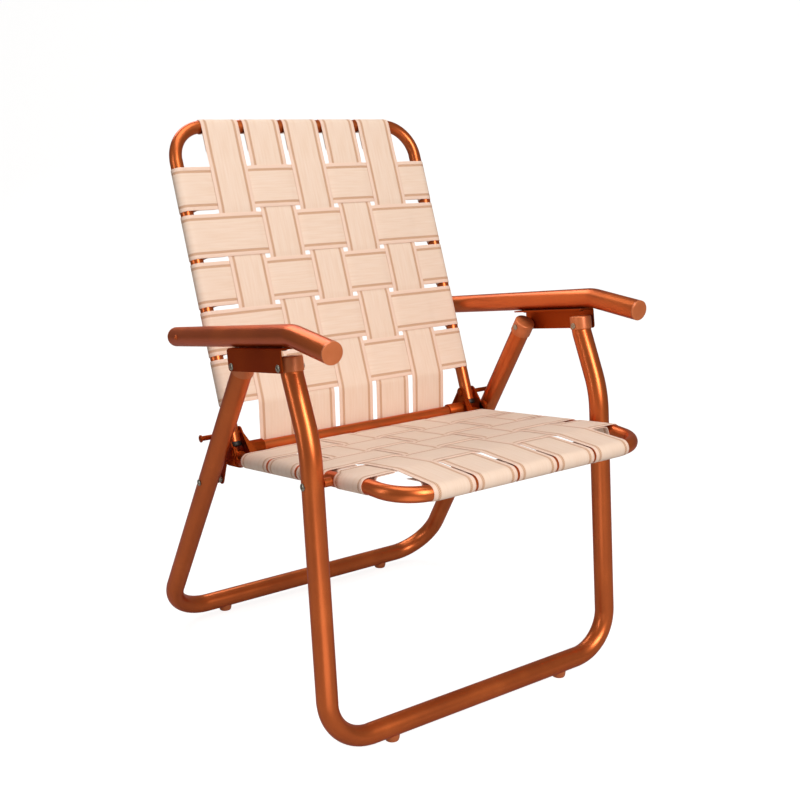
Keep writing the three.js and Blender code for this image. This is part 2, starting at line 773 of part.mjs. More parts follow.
// One hinge bracket: a fork of two ears for the back's side tube, a sleeve for the cross bar,
// a socket for the rear end of the seat rail and the headed pin that the link turns on
function hingeBracket() {
  const ear = [
    [earFront, earFoot],
    [earBack, earFoot],
    ...arcPoints(hingeAt, earTopRadius, ...earTopSweep, roundingSteps),
  ];
  const outerFace = outerEarFace + earPlate;
  const linkOuter = linkFace + linkPlate + fitGap;
  const socket = new THREE.CylinderGeometry(socketRadius, socketRadius, socketBack - socketFront, capSides);
  socket.translate(railHalfAt((socketFront + socketBack) / 2), (socketFront + socketBack) / 2, 0);
  const solids = [
    plateAtX(ear, innerEarFace, earPlate),
    plateAtX(ear, outerEarFace, earPlate),
    barAlongX(linkEnd, outerEarFace, outerFace, linkPinAt),
    barAlongX(linkPinRadius, outerEarFace, linkOuter + linkPinHeadHeight, linkPinAt),
    barAlongX(linkPinHeadRadius, linkOuter, linkOuter + linkPinHeadHeight, linkPinAt),
    barAlongX(sleeveRadius, sleeveInner, barEnd, barAt),
    socket,
    earFlange(earFront, -1),
    earFlange(earBack, 1),
  ];
  return cut(join(solids), [
    barAlongX(barRadius + fitGap, sleeveInner - cutOver, barEnd + fitGap, barAt),
    barAlongX(pinRadius + fitGap, sleeveInner, outerFace + cutOver, hingeAt),
    railBore(),
  ]);
}

// The bore for the seat rail follows the rail's own line.
function railBore() {
  const from = new THREE.Vector3(railHalfAt(socketFront - cutOver), socketFront - cutOver, 0);
  const to = new THREE.Vector3(railHalfAt(socketBack + cutOver), socketBack + cutOver, 0);
  const run = to.clone().sub(from);
  const boreRadius = frameRadius + fitGap;
  const bore = new THREE.CylinderGeometry(boreRadius, boreRadius, run.length(), capSides);
  bore.applyQuaternion(new THREE.Quaternion().setFromUnitVectors(
    new THREE.Vector3(0, 1, 0), run.clone().normalize()));
  bore.translate(...from.add(to).multiplyScalar(1 / 2).toArray());
  return bore;
}

// The turned-in edge of the inner ear, wide at the foot and narrow at the top
function earFlange(edgeY, direction) {
  const top = [hingeBack + direction * earTopRadius, hingeRise];
  const run = Math.hypot(top[0] - edgeY, top[1] - earFoot);
  const shape = new THREE.Shape([
    [0, 0],
    [-earFlangeWide, 0],
    [-earFlangeNarrow, run],
    [0, run],
  ].map(([x, z]) => new THREE.Vector2(x, z)));
  const flange = new THREE.ExtrudeGeometry(shape, { depth: earPlate, bevelEnabled: false });
  flange.rotateX(Math.PI / 2);
  flange.translate(innerEarFace + earPlate, direction > 0 ? 0 : earPlate, 0);
  flange.rotateX(-Math.atan2(top[0] - edgeY, top[1] - earFoot));
  flange.translate(0, edgeY, earFoot);
  return flange;
}

// Pin that carries the back and bears on the rear leg when the chair is open
function backPin() {
  return turnedAlongX([
    [innerEarFace - pinHeadHeight, 0],
    [innerEarFace - pinHeadHeight, pinHeadRadius],
    [innerEarFace - fitGap, pinHeadRadius],
    [innerEarFace - fitGap, pinRadius],
    [pinEnd - pinHeadHeight, pinRadius],
    [pinEnd - pinHeadHeight, pinHeadRadius],
    [pinEnd, pinHeadRadius],
    [pinEnd, 0],
  ], hingeAt);
}

addPiece(seat, 'seat_frame', seatFrame(), copper);
addPiece(seat, 'cross_bar', crossBar(), copper);
for (const { word, sign } of sides) {
  addPiece(seat, `seat_pivot_rivet_${word}`, onSide(seatRivet(), sign), steel);
  addPiece(seat, `hinge_bracket_${word}`, onSide(hingeBracket(), sign), copperShade);
  addPiece(seat, `back_pivot_pin_${word}`, onSide(backPin(), sign), copperShade);
}

// Links from the hinge brackets down to the rear legs, and their rivets
const linkRivetInSeat = turned([linkRivetY - seatPivotY, linkRivetZ - seatPivotZ], seatTilt);

function link() {
  const elbow = [linkElbowBack, linkPinRise - linkElbowDrop];
  const line = [linkPinAt, elbow, linkRivetInSeat];
  const bar = stripOutline(line, 2 * linkEnd).map((point) => [point.x, point.y]);
  const holes = [linkPinAt, linkRivetInSeat].map((centre) => barAlongX(
    linkPinRadius + fitGap, linkFace - cutOver, linkFace + linkPlate + cutOver, centre));
  const eyes = [linkPinAt, linkRivetInSeat].map((centre) => barAlongX(
    linkEnd, linkFace, linkFace + linkPlate, centre));
  return cut(join([plateAtX(bar, linkFace, linkPlate), ...eyes]), holes);
}

function linkRivet() {
  const legHalf = rearHalfAt(linkRivetZ);
  const near = linkFace + linkPlate + fitGap;
  const legInner = legHalf - legRadius - fitGap;
  const legOuter = legHalf + legRadius + fitGap;
  return turnedAlongX([
    [near, 0],
    [near, spacerRadius],
    [legInner, spacerRadius],
    [legInner, rivetRadius],
    [legOuter, rivetRadius],
    [legOuter, rivetHeadRadius],
    [legOuter + rivetHeadHeight / 2, rivetHeadRadius],
    [legOuter + rivetHeadHeight, rivetHeadRadius / 2],
    [legOuter + rivetHeadHeight, 0],
  ], linkRivetInSeat);
}

for (const { word, sign } of sides) {
  addPiece(seat, `seat_link_${word}`, onSide(link(), sign), copperShade);
  addPiece(seat, `link_rivet_${word}`, onSide(linkRivet(), sign), steel);
}

// Seat straps from side to side, numbered from the back
function sideStrap(row) {
  const [front, rear] = sideStrapEdges[row - 1];
  const middle = (front + rear) / 2;
  const rail = railHalfAt(middle);
  const pitch = forePitchAt(middle);
  const outermost = -pitch * (uprightCount - 1) / 2;
  const woven = wovenStretch(
    evenCrossings(uprightCount, outermost, pitch, longStrapWidth, (column) => (column + row) % 2 === 0),
    seatWebPlane);
  const line = [
    ...wrappedEnd([-rail, 0], -1, seatWebPlane).reverse(),
    ...woven,
    ...wrappedEnd([rail, 0], 1, seatWebPlane),
  ];
  const strap = strapGeometry(line, rear - front);
  strap.rotateX(Math.PI / 2);
  strap.translate(0, middle, 0);
  const wovenEnd = woven.at(-1)[0] + webThickness;
  return shaped(strap, (corner) => {
    if (front < 0 && Math.abs(corner.x) > wovenEnd) {
      corner.y = Math.min(corner.y, -pivotRoom);
    }
    corner.x *= railHalfAt(corner.y) / rail;
  });
}

for (let row = 1; row <= sideStrapEdges.length; row++) {
  addPiece(seat, `seat_cross_strap_${row}`, sideStrap(row), webbing);
}

// Seat straps from back to front, numbered from the sitter's right. Each is the front part of
// a long strap: it comes forward under the cross bar, over the seat and round the front rail.
function foreStrap(column) {
  const place = column - (uprightCount + 1) / 2;
  const crossings = sideStrapEdges.map(([front, rear], i) => (
    { from: -rear, to: -front, over: (column + i + 1) % 2 === 1 }));
  const barRound = barRadius + fitGap + webThickness / 2;
  const woven = wovenStretch(crossings, seatWebPlane);
  const leaving = touchAngle([woven[0][0] + barBack, woven[0][1] - barRise], barRound, -1) + 360;
  const underBar = arcPoints([-barBack, barRise], barRound, 180, leaving, roundingSteps);
  const levelEnd = woven.at(-1)[0];
  const tailHeight = THREE.MathUtils.mapLinear(
    seatFrontAhead - tailLength, levelEnd, seatFrontAhead, seatWebPlane, seatWebPlane - seatFrontDrop);
  const line = [
    ...underBar,
    ...woven,
    ...wrappedEnd([seatFrontAhead, -seatFrontDrop], 1, tailHeight),
  ];
  const strap = strapGeometry(line, longStrapWidth, longStrapSteps(place));
  strap.rotateX(Math.PI / 2);
  strap.rotateZ(-Math.PI / 2);
  return shaped(strap, (corner) => {
    corner.x += place * forePitchAt(corner.y);
    if (corner.y < -levelEnd - webThickness) {
      const outward = -seatFrontAhead - corner.y;
      corner.y = -seatFrontAhead - besideCorner(corner.x, outward, seatFrontHalf, seatCornerRadius);
      corner.z += seatFrontSlope * cornerSetback(corner.x, seatFrontHalf, seatCornerRadius);
    }
  });
}

for (let column = 1; column <= uprightCount; column++) {
  addPiece(seat, `seat_long_strap_${column}`, foreStrap(column), webbing);
}

// Back, in a frame at the hinge pin with z up along the side tubes
const back = groupAt(chair, ...hingeInChair, -recline);

function backFrame() {
  const half = [
    [backHalf, 0, -backTail],
    [backHalf, 0, backHeight],
  ];
  const other = half.map(([x, y, z]) => [-x, y, z]).reverse();
  const tube = tubeAlong([...half, ...other], [backCornerRadius, backCornerRadius], frameRadius, frameWall);
  const reach = backHalf + frameRadius + cutOver;
  return cut(tube, [barAlongX(pinRadius + fitGap, -reach, reach, [0, 0])]);
}

function backPlug() {
  const spigot = frameRadius - frameWall - spigotGap;
  const top = -backTail - fitGap;
  const plug = new THREE.LatheGeometry([
    [0, top - plugLip],
    [frameRadius - capChamfer, top - plugLip],
    [frameRadius, top - plugLip + capChamfer],
    [frameRadius, top],
    [spigot, top],
    [spigot, top + plugSpigot],
    [0, top + plugSpigot],
  ].map(([r, h]) => new THREE.Vector2(r, h)), capSides);
  plug.rotateX(Math.PI / 2);
  plug.translate(backHalf, 0, 0);
  return plug;
}

addPiece(back, 'back_frame', backFrame(), copper);
for (const { word, sign } of sides) {
  addPiece(back, `back_end_plug_${word}`, onSide(backPlug(), sign), blackPlastic);
}

// The back's weave lies in front of its tubes, so a strap's height is measured towards -Y.
function backCrossStrap(row) {
  const outermost = -uprightPitch * (uprightCount - 1) / 2;
  const crossings = evenCrossings(
    uprightCount, outermost, uprightPitch, longStrapWidth, (column) => (column + row) % 2 === 1);
  const line = [
    ...wrappedEnd([-backHalf, 0], -1, wrapRadius).reverse(),
    ...wovenStretch(crossings, wrapRadius),
    ...wrappedEnd([backHalf, 0], 1, wrapRadius),
  ];
  const strap = strapGeometry(line, crossStrapWidth);
  strap.rotateX(Math.PI);
  strap.translate(0, 0, lowestCrosswise + (crosswiseCount - row) * crosswisePitch);
  return strap;
}

for (let row = 1; row <= crosswiseCount; row++) {
  addPiece(back, `back_cross_strap_${row}`, backCrossStrap(row), webbing);
}

// Back straps from top to bottom: the back part of each long strap, from the top rail down to
// the rear of the cross bar
function backLongStrap(column) {
  const place = column - (uprightCount + 1) / 2;
  const crossings = evenCrossings(
    crosswiseCount, lowestCrosswise, crosswisePitch, crossStrapWidth,
    (rowUp) => (column + crosswiseCount + 1 - rowUp) % 2 === 0);
  const barInBack = turned([barBack - hingeBack, barRise - hingeRise], recline - seatTilt);
  const barRound = barRadius + fitGap + webThickness / 2;
  const level = turned([barRound, strapSplit], recline);
  const end = [barInBack[0] + level[0], barInBack[1] + level[1]];
  const line = [
    [end[1], -end[0]],
    ...wovenStretch(crossings, wrapRadius),
    ...wrappedEnd([backHeight, 0], 1, wrapRadius),
  ];
  const strap = strapGeometry(line, longStrapWidth, longStrapSteps(place));
  strap.applyMatrix4(new THREE.Matrix4().makeBasis(
    new THREE.Vector3(0, 0, 1), new THREE.Vector3(0, -1, 0), new THREE.Vector3(1, 0, 0)));
  const levelEnd = crossings.at(-1).to;
  return shaped(strap, (corner) => {
    corner.x += place * uprightPitch;
    if (corner.z > levelEnd + webThickness) {
      corner.z = backHeight + besideCorner(corner.x, corner.z - backHeight, backHalf, backCornerRadius);
    }
  });
}

for (let column = 1; column <= uprightCount; column++) {
  addPiece(back, `back_long_strap_${column}`, backLongStrap(column), webbing);
}

// The origin lies under the middle of the chair, from the front rail's straps to the rear bar.
const seatFrontY = seatPivotY + turned([-seatFrontAhead, -seatFrontDrop], -seatTilt)[0];
const foremost = seatFrontY - wrapRadius - webThickness / 2;
const rearmost = wheelbase + legRadius;
chair.position.y = -(foremost + rearmost) / 2;

export default chair;
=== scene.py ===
# %% [markdown]
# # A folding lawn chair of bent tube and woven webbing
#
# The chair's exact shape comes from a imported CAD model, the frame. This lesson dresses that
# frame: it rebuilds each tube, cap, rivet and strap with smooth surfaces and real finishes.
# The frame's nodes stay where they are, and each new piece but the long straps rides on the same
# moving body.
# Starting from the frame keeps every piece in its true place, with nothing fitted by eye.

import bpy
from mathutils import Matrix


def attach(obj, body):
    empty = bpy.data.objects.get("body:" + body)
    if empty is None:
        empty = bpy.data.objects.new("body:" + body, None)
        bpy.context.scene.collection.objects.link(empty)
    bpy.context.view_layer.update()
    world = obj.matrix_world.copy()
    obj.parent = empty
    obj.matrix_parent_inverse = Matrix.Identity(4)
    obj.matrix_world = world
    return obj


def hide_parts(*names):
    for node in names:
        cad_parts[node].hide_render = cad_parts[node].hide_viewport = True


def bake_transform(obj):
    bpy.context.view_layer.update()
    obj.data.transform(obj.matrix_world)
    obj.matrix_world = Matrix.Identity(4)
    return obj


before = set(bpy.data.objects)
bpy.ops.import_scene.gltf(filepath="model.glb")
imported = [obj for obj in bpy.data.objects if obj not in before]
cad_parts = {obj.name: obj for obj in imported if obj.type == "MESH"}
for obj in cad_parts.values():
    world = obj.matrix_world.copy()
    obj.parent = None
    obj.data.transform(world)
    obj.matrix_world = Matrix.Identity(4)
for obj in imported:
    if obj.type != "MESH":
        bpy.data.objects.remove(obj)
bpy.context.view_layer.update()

# %% [markdown]
# ## Measures
#
# Blender works in metres, but a chair is drawn in millimetres. Each group of pieces could be
# placed by its own loose numbers. Here one matrix per group does it: it takes millimetres in
# that group's own frame, where the tubes run straight, and gives metres in the scene.

# %% Frames of the chair's groups
import math

import bmesh
import bpy
from mathutils import Matrix, Vector

MM = 0.001
FIT = 0.3                      # clearance between two pieces
MIDDLE_BACK = 197.864          # front floor bar to the middle of the open chair


def side_frame(y, z, tilt):
    """Millimetres in a frame at [y, z] of the side view, turned about X, to scene metres."""
    return (Matrix.Translation((0, (y - MIDDLE_BACK) * MM, z * MM))
            @ Matrix.Rotation(math.radians(tilt), 4, "X") @ Matrix.Scale(MM, 4))


# Places in the side view are [y, z]: back from the front floor bar, and up from the floor
BAR_Z = 20.3                   # middle of a floor bar
FRONT_PIVOT = (80.0, 507.0)    # rivet of a front leg in its arm plate
REAR_PIVOT = (209.0, 485.5)    # rivet of a rear leg in its arm plate
SEAT_PIVOT = (33.574, 366.5)   # rivet of the seat in a front leg
HINGE = (313.5615, 360.9854)   # pin that the back turns on
ARM_TILT = math.degrees(math.atan2(REAR_PIVOT[1] - FRONT_PIVOT[1], REAR_PIVOT[0] - FRONT_PIVOT[0]))
SEAT_TILT = -8.7
BACK_TILT = -21.7
CHAIR = side_frame(0, 0, 0)
ARM = side_frame(*FRONT_PIVOT, ARM_TILT)
SEAT = side_frame(*SEAT_PIVOT, SEAT_TILT)
BACK = side_frame(*HINGE, BACK_TILT)
SIDES = (("right", -1), ("left", 1))
print(f"arms tilt {ARM_TILT:.2f} degrees, seat {SEAT_TILT}, back {BACK_TILT}")

# %% [markdown]
# ## Finishes
#
# Every material is drawn with nodes, so it has no picture files. One function turns the hex
# colours of a paint card into the linear values that Blender mixes, and one adds any node
# with its settings and its links. Short functions for the commonest nodes are built on it.
# Writing each node out by hand would work, but would be long.

# %% Colour and node helpers
def linear(hex_colour):
    """An sRGB hex colour as linear RGBA."""
    values = [int(hex_colour[i:i + 2], 16) / 255 for i in (1, 3, 5)]
    return (*[v / 12.92 if v <= 0.04045 else ((v + 0.055) / 1.055) ** 2.4 for v in values], 1)


def wire(tree, node, inputs):
    """Each input gets a value, or is linked to another node's output."""
    for key, value in inputs.items():
        if isinstance(value, bpy.types.NodeSocket):
            tree.links.new(value, node.inputs[key])
        else:
            node.inputs[key].default_value = value


def add_node(tree, kind, settings=None, inputs=None):
    """A node with its attributes set and its inputs wired."""
    node = tree.nodes.new(kind)
    for key, value in (settings or {}).items():
        setattr(node, key, value)
    wire(tree, node, inputs or {})
    return node


def new_finish(name, **shader_values):
    """An empty node material with a Principled shader. Returns the material, tree and shader."""
    material = bpy.data.materials.new(name)
    material.use_nodes = True
    tree = material.node_tree
    shader = tree.nodes["Principled BSDF"]
    wire(tree, shader, {key.replace("_", " "): value for key, value in shader_values.items()})
    return material, tree, shader


def object_place(tree):
    return add_node(tree, "ShaderNodeTexCoord").outputs["Object"]


def calc(tree, operation, *inputs):
    """One Math node."""
    node = add_node(tree, "ShaderNodeMath", {"operation": operation}, dict(enumerate(inputs)))
    return node.outputs[0]


def noise(tree, place, size, detail):
    """Noise whose largest blotches are about size millimetres wide."""
    return add_node(tree, "ShaderNodeTexNoise", inputs={
        "Vector": place, "Scale": 1 / (size * MM), "Detail": detail}).outputs["Fac"]


def remap(tree, source, span, onto=(0.0, 1.0)):
    """Values in one span, spread over another and held at its ends."""
    return add_node(tree, "ShaderNodeMapRange", inputs={
        "Value": source, "From Min": span[0], "From Max": span[1],
        "To Min": onto[0], "To Max": onto[1]}).outputs["Result"]


def bump(tree, height, strength, depth, over=None):
    """A bumped normal, depth in millimetres, laid over another one if there is one."""
    inputs = {"Height": height, "Strength": strength, "Distance": depth * MM}
    if over is not None:
        inputs["Normal"] = over
    return add_node(tree, "ShaderNodeBump", inputs=inputs).outputs["Normal"]


def mix(tree, share, first, second):
    """A colour between two. Inputs 6 and 7 and output 2 are the Mix node's colours."""
    return add_node(tree, "ShaderNodeMix", {"data_type": "RGBA"}, {
        "Factor": share, 6: first, 7: second}).outputs[2]


def ramp(tree, source, stops):
    """A Color Ramp between hex colours."""
    node = add_node(tree, "ShaderNodeValToRGB", inputs={0: source})
    elements = node.color_ramp.elements
    while len(elements) < len(stops):
        elements.new(0.5)
    for element, (place, colour) in zip(elements, stops):
        element.position = place
        element.color = linear(colour)
    return node.outputs["Color"]


print("middle grey #808080 in linear light:", round(linear("#808080")[0], 3))

# %% [markdown]
# ### Copper metallic paint
#
# The tubes are aluminium, sprayed with a copper-coloured metallic paint and baked. Fine metal
# flakes in the paint give it a soft, coloured shine, and the clear binder on top gives a
# second, whiter one. A plain metal would look like bare copper pipe. So the shader is mostly
# metallic, with a coat. Bare metal also turns white at its outline, but flakes lie in tinted
# binder, so the tint of the outline is set to orange. There are three faint patterns: flakes
# about 0.4 mm wide, drawn coarser than the real 0.05 mm ones so that they show, the low swells
# of sprayed paint every 12 mm, and cloudy handling marks that change the roughness.

# %% Copper paint
FLAKE = 0.4
SWELL = 12.0
CLOUD = 60.0


def copper_paint(name, colours, metallic, roughness, coat):
    material, tree, shader = new_finish(name, Metallic=metallic, Specular_Tint=linear("#DE935E"),
                                        Coat_Weight=coat, Coat_Roughness=0.28)
    place = object_place(tree)
    flakes = noise(tree, place, 4 * FLAKE, 2.0)    # its finest blotches are a quarter as wide
    clouds = noise(tree, place, CLOUD, 3.0)
    swells = noise(tree, place, SWELL, 1.0)
    mixed = calc(tree, "MULTIPLY_ADD", flakes, 0.35, clouds)
    wire(tree, shader, {
        "Base Color": ramp(tree, mixed, [(0.4, colours[0]), (0.75, colours[1]), (1.0, colours[2])]),
        "Roughness": remap(tree, clouds, (0.3, 0.7), (roughness - 0.04, roughness + 0.06)),
        "Normal": bump(tree, swells, 0.05, 0.1, over=bump(tree, flakes, 0.04, 0.04))})
    return material


PAINT = copper_paint("copper metallic paint, sprayed", ("#C8602A", "#D4682D", "#E07336"),
                     metallic=0.82, roughness=0.32, coat=0.45)
# The plates, brackets, pins and links wear the same copper paint as the tubes. Their darker colours
# are painted shade, for the shade they sit in under the arms and the seat. Their duller shine and
# thin coat are their own.
PLATE_PAINT_WITH_PAINTED_SHADE = copper_paint("copper metallic paint, on pressed steel",
                           ("#9C3E11", "#A84616", "#B4511E"),
                           metallic=0.85, roughness=0.45, coat=0.05)
print("paints:", PAINT.name, "|", PLATE_PAINT_WITH_PAINTED_SHADE.name)

# %% [markdown]
# ### Copper-coloured plastic
#
# The caps, plugs and feet are moulded polyethylene. Its own shine is weak and white, but the
# copper pigment is ground metal, so the copper-coloured one is about a third metallic. The
# mould leaves a fine matt grain. It is really about 0.1 mm wide and is drawn at 0.5 mm, so
# that it shows.

# %% Copper and black plastic
GRAIN = 0.5
FLOW_MARK = 18.0


def moulded_plastic(name, colours, roughness, metallic=0.0):
    material, tree, shader = new_finish(name, IOR=1.51, Metallic=metallic)
    place = object_place(tree)
    flow = noise(tree, place, FLOW_MARK, 2.0)
    grain = noise(tree, place, 2 * GRAIN, 2.0)     # its finest blotches are half as wide
    wire(tree, shader, {
        "Base Color": ramp(tree, flow, [(0.3, colours[0]), (0.7, colours[1])]),
        "Roughness": remap(tree, grain, (0.3, 0.7), (roughness - 0.05, roughness + 0.05)),
        "Normal": bump(tree, grain, 0.2, 0.08)})
    return material


CAP_PLASTIC = moulded_plastic("polyethylene, copper pigment, moulded", ("#CE7040", "#D97C4B"), 0.38,
                              metallic=0.35)
BLACK_PLASTIC = moulded_plastic("polyethylene, black, moulded", ("#14110F", "#1D1916"), 0.5)
print("plastics:", CAP_PLASTIC.name, "|", BLACK_PLASTIC.name)

# %% [markdown]
# ### Nickel-plated rivets
#
# The rivets are pressed steel with thin nickel plating. Nickel is a slightly yellow grey metal
# with a clear but not mirror-like shine. Pressing and handling leave faint blotches about
# 3 mm wide, some of them duller.

# %% Plated steel
BLOTCH = 3.0


def plated_steel(name):
    material, tree, shader = new_finish(name, Metallic=1.0)
    marks = noise(tree, object_place(tree), BLOTCH, 3.0)
    wire(tree, shader, {
        "Base Color": ramp(tree, marks, [(0.3, "#8E877A"), (0.7, "#B3AC9F")]),
        "Roughness": remap(tree, marks, (0.3, 0.7), (0.22, 0.38))})
    return material


NICKEL = plated_steel("steel, nickel plated")
print("metal:", NICKEL.name)

# %% [markdown]
# ### Polypropylene webbing
#
# The straps are flat webbing, woven of shiny flat polypropylene yarns. The eye sees a pale
# cream band with fine ribs along it, a slightly pinker selvedge, and a line of slanted
# stitches about 7 mm in from each edge. The map of each strap runs in metres, U across from
# one edge and V along, so each pattern is worked out from real sizes. The yarns are about
# 1 mm apart. A checked Wave texture could fake them, but sine ridges along both directions
# give the real over-and-under of a plain weave.

# %% Webbing
STRAP_WIDTH = 61.5
STITCH_INSET = 7.4             # stitch line, in from the edge
STITCH_WIDTH = 4.0
STITCH_SOFT = 0.35             # soft side of the stitch line
STITCH_PITCH = 2.6             # one slanted stitch to the next
YARN_PITCH = 1.15              # warp yarns across the strap
WEFT_PITCH = 1.5               # weft yarns along the strap


def ridges(tree, distance, pitch):
    """Round ridges, one at each pitch."""
    wave = calc(tree, "SINE", calc(tree, "MULTIPLY", distance, math.pi / pitch))
    return calc(tree, "ABSOLUTE", wave)


def woven_webbing(name):
    material, tree, shader = new_finish(name, IOR=1.49, Sheen_Weight=0.15, Sheen_Roughness=0.4)
    plan = add_node(tree, "ShaderNodeUVMap", {"uv_map": "strap"}).outputs["UV"]
    axes = add_node(tree, "ShaderNodeSeparateXYZ", inputs={0: plan})
    across = calc(tree, "MULTIPLY", axes.outputs["X"], 1 / MM)
    along = calc(tree, "MULTIPLY", axes.outputs["Y"], 1 / MM)
    edge = add_node(tree, "ShaderNodeAttribute", {"attribute_name": "edge_mm"}).outputs["Fac"]
    # The stitch line: 1 on the line, with soft sides, and slanted dashes along it
    off_line = calc(tree, "ABSOLUTE", calc(tree, "SUBTRACT", edge, STITCH_INSET))
    side = STITCH_WIDTH / 2
    on_line = remap(tree, off_line, (side - STITCH_SOFT, side + STITCH_SOFT), onto=(1.0, 0.0))
    slant = calc(tree, "MULTIPLY_ADD", edge, 0.3, calc(tree, "DIVIDE", along, STITCH_PITCH))
    stitch = calc(tree, "SINE", calc(tree, "MULTIPLY", slant, 2 * math.pi))
    dash = remap(tree, stitch, (-0.3, 0.3))
    # Yarns
    height = calc(tree, "ADD", ridges(tree, across, YARN_PITCH),
                  calc(tree, "MULTIPLY", ridges(tree, along, WEFT_PITCH), 0.6))
    # Colour: cream, with slow changes from yarn to yarn, a pinker selvedge and brown thread
    yarn_place = add_node(tree, "ShaderNodeCombineXYZ", inputs={
        "X": calc(tree, "MULTIPLY", across, 0.35 * MM),
        "Y": calc(tree, "MULTIPLY", along, 0.02 * MM)})
    tone = noise(tree, yarn_place.outputs[0], 1.0, 3.0)
    cream = ramp(tree, tone, [(0.3, "#EDD2BD"), (0.5, "#F0D7C4"), (0.7, "#F2DBCA")])
    selvedge = remap(tree, edge, (STITCH_INSET - STITCH_WIDTH, STITCH_INSET), onto=(1.0, 0.0))
    band = mix(tree, selvedge, cream, linear("#F1D3C1"))
    thread = mix(tree, dash, linear("#DFB797"), linear("#C08D6E"))
    # Relief: the yarns' ribs, and stitches sunk into a groove
    groove = calc(tree, "MULTIPLY", on_line, calc(tree, "SUBTRACT", dash, 1.4))
    wire(tree, shader, {
        "Base Color": mix(tree, calc(tree, "MULTIPLY", on_line, 0.9), band, thread),
        "Roughness": remap(tree, height, (0.0, 1.6), (0.72, 0.5)),
        "Normal": bump(tree, groove, 0.6, 0.3, over=bump(tree, height, 0.35, 0.12))})
    return material


WEBBING = woven_webbing("polypropylene webbing, woven, cream")
print("webbing:", WEBBING.name)

# %% [markdown]
# ## Making a piece
#
# Every piece below is a list of points and faces, worked out by a short function. Modelling
# by hand in the viewport would give the same meshes, but a function can be rerun with another
# size. One last function makes the object: it smooths the faces, keeps edges sharper than
# 40 degrees, rounds them where asked, and ties the piece to its body and its CAD nodes.

# %% Piece maker
PIECES = []
SHARP_ANGLE = 40


class Shell:
    """Points in millimetres and faces, gathered from one or more parts."""

    def __init__(self):
        self.points = []
        self.faces = []
        self.plan = []             # strap map, one (across, along) for each point
        self.edge = []

    def add(self, points, faces, frame_of_points=None):
        start = len(self.points)
        if frame_of_points is not None:
            points = [frame_of_points @ Vector(p) for p in points]
        self.points += [Vector(p) for p in points]
        self.faces += [tuple(start + i for i in face) for face in faces]
        return self

    def mirrored(self, sign):
        if sign < 0:
            self.points = [Vector((-p.x, p.y, p.z)) for p in self.points]
            self.faces = [face[::-1] for face in self.faces]
        return self


def make_piece(name, shell, group, finish, body, replaces=(), bevel=0.0):
    """An object from a shell in a group's millimetres."""
    mesh = bpy.data.meshes.new(name)
    mesh.from_pydata([group @ p for p in shell.points], [], shell.faces)
    if shell.plan:
        layer = mesh.uv_layers.new(name="strap")
        for loop in mesh.loops:
            layer.data[loop.index].uv = [v * MM for v in shell.plan[loop.vertex_index]]
        attribute = mesh.attributes.new("edge_mm", "FLOAT", "POINT")
        attribute.data.foreach_set("value", shell.edge)
    mesh.materials.append(finish)
    shell_mesh = bmesh.new()
    shell_mesh.from_mesh(mesh)
    bmesh.ops.recalc_face_normals(shell_mesh, faces=shell_mesh.faces)
    shell_mesh.to_mesh(mesh)
    shell_mesh.free()
    mesh.polygons.foreach_set("use_smooth", [True] * len(mesh.polygons))
    mesh.set_sharp_from_angle(angle=math.radians(SHARP_ANGLE))
    piece = bpy.data.objects.new(name, mesh)
    bpy.context.scene.collection.objects.link(piece)
    if bevel:
        rounding = piece.modifiers.new("rounded edges", "BEVEL")
        rounding.width = bevel * MM
        rounding.segments = 2
        rounding.limit_method = "ANGLE"
        rounding.angle_limit = math.radians(SHARP_ANGLE)
        rounding.harden_normals = True
    if body:
        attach(piece, body)
    if replaces:
        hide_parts(*replaces)
    PIECES.append(piece)
    return piece


# %% [markdown]
# ## Bent tube
#
# A real frame starts as a straight tube and is bent round formers. The route is given by its
# corners and bend radii, as on a workshop drawing. A curve object with a bevel would sweep a
# round section too, but a real bend is squashed a little: the tube goes oval where it turns.
# So the section is swept here in code, with its wall, and flattened in each bend.

# %% Tube sweep
TUBE_SIDES = 40
TUBE_WALL = 1.2
BEND_STEP = 4                  # degrees of bend for each ring
STRAIGHT_STEP = 30             # mm of straight tube for each ring
BEND_SQUASH = 0.07             # how much thinner the tube gets in the middle of a bend
FULL_BEND = 60                 # degrees from which a bend squashes the tube in full


def bent_route(corners, radii):
    """Stations of a route: (point, tangent, inward direction of the bend, squash 0 to 1)."""
    points = [Vector(c) for c in corners]
    stations = []

    def straight(to, tangent):
        start = stations[-1][0] if stations else points[0]
        count = max(1, round((to - start).length / STRAIGHT_STEP))
        for i in range(1 if stations else 0, count):
            stations.append((start.lerp(to, i / count), tangent, Vector(), 0.0))

    for i in range(1, len(points) - 1):
        before = (points[i] - points[i - 1]).normalized()
        after = (points[i + 1] - points[i]).normalized()
        angle = before.angle(after)
        radius = radii[i - 1]
        start = points[i] - before * radius * math.tan(angle / 2)
        inward = (after - before * before.dot(after)).normalized()
        straight(start, before)
        steps = max(2, math.ceil(math.degrees(angle) / BEND_STEP))
        for k in range(steps + 1):
            turn = angle * k / steps
            aside = inward * radius * (1 - math.cos(turn))
            point = start + before * radius * math.sin(turn) + aside
            tangent = before * math.cos(turn) + inward * math.sin(turn)
            centreward = inward * math.cos(turn) - before * math.sin(turn)
            fullness = min(1.0, math.degrees(angle) / FULL_BEND)
            squash = math.sin(math.pi * k / steps) ** 0.4 * fullness
            stations.append((point, tangent, centreward, squash))
    last = (points[-1] - points[-2]).normalized()
    straight(points[-1], last)
    stations.append((points[-1], last, Vector(), 0.0))
    return stations


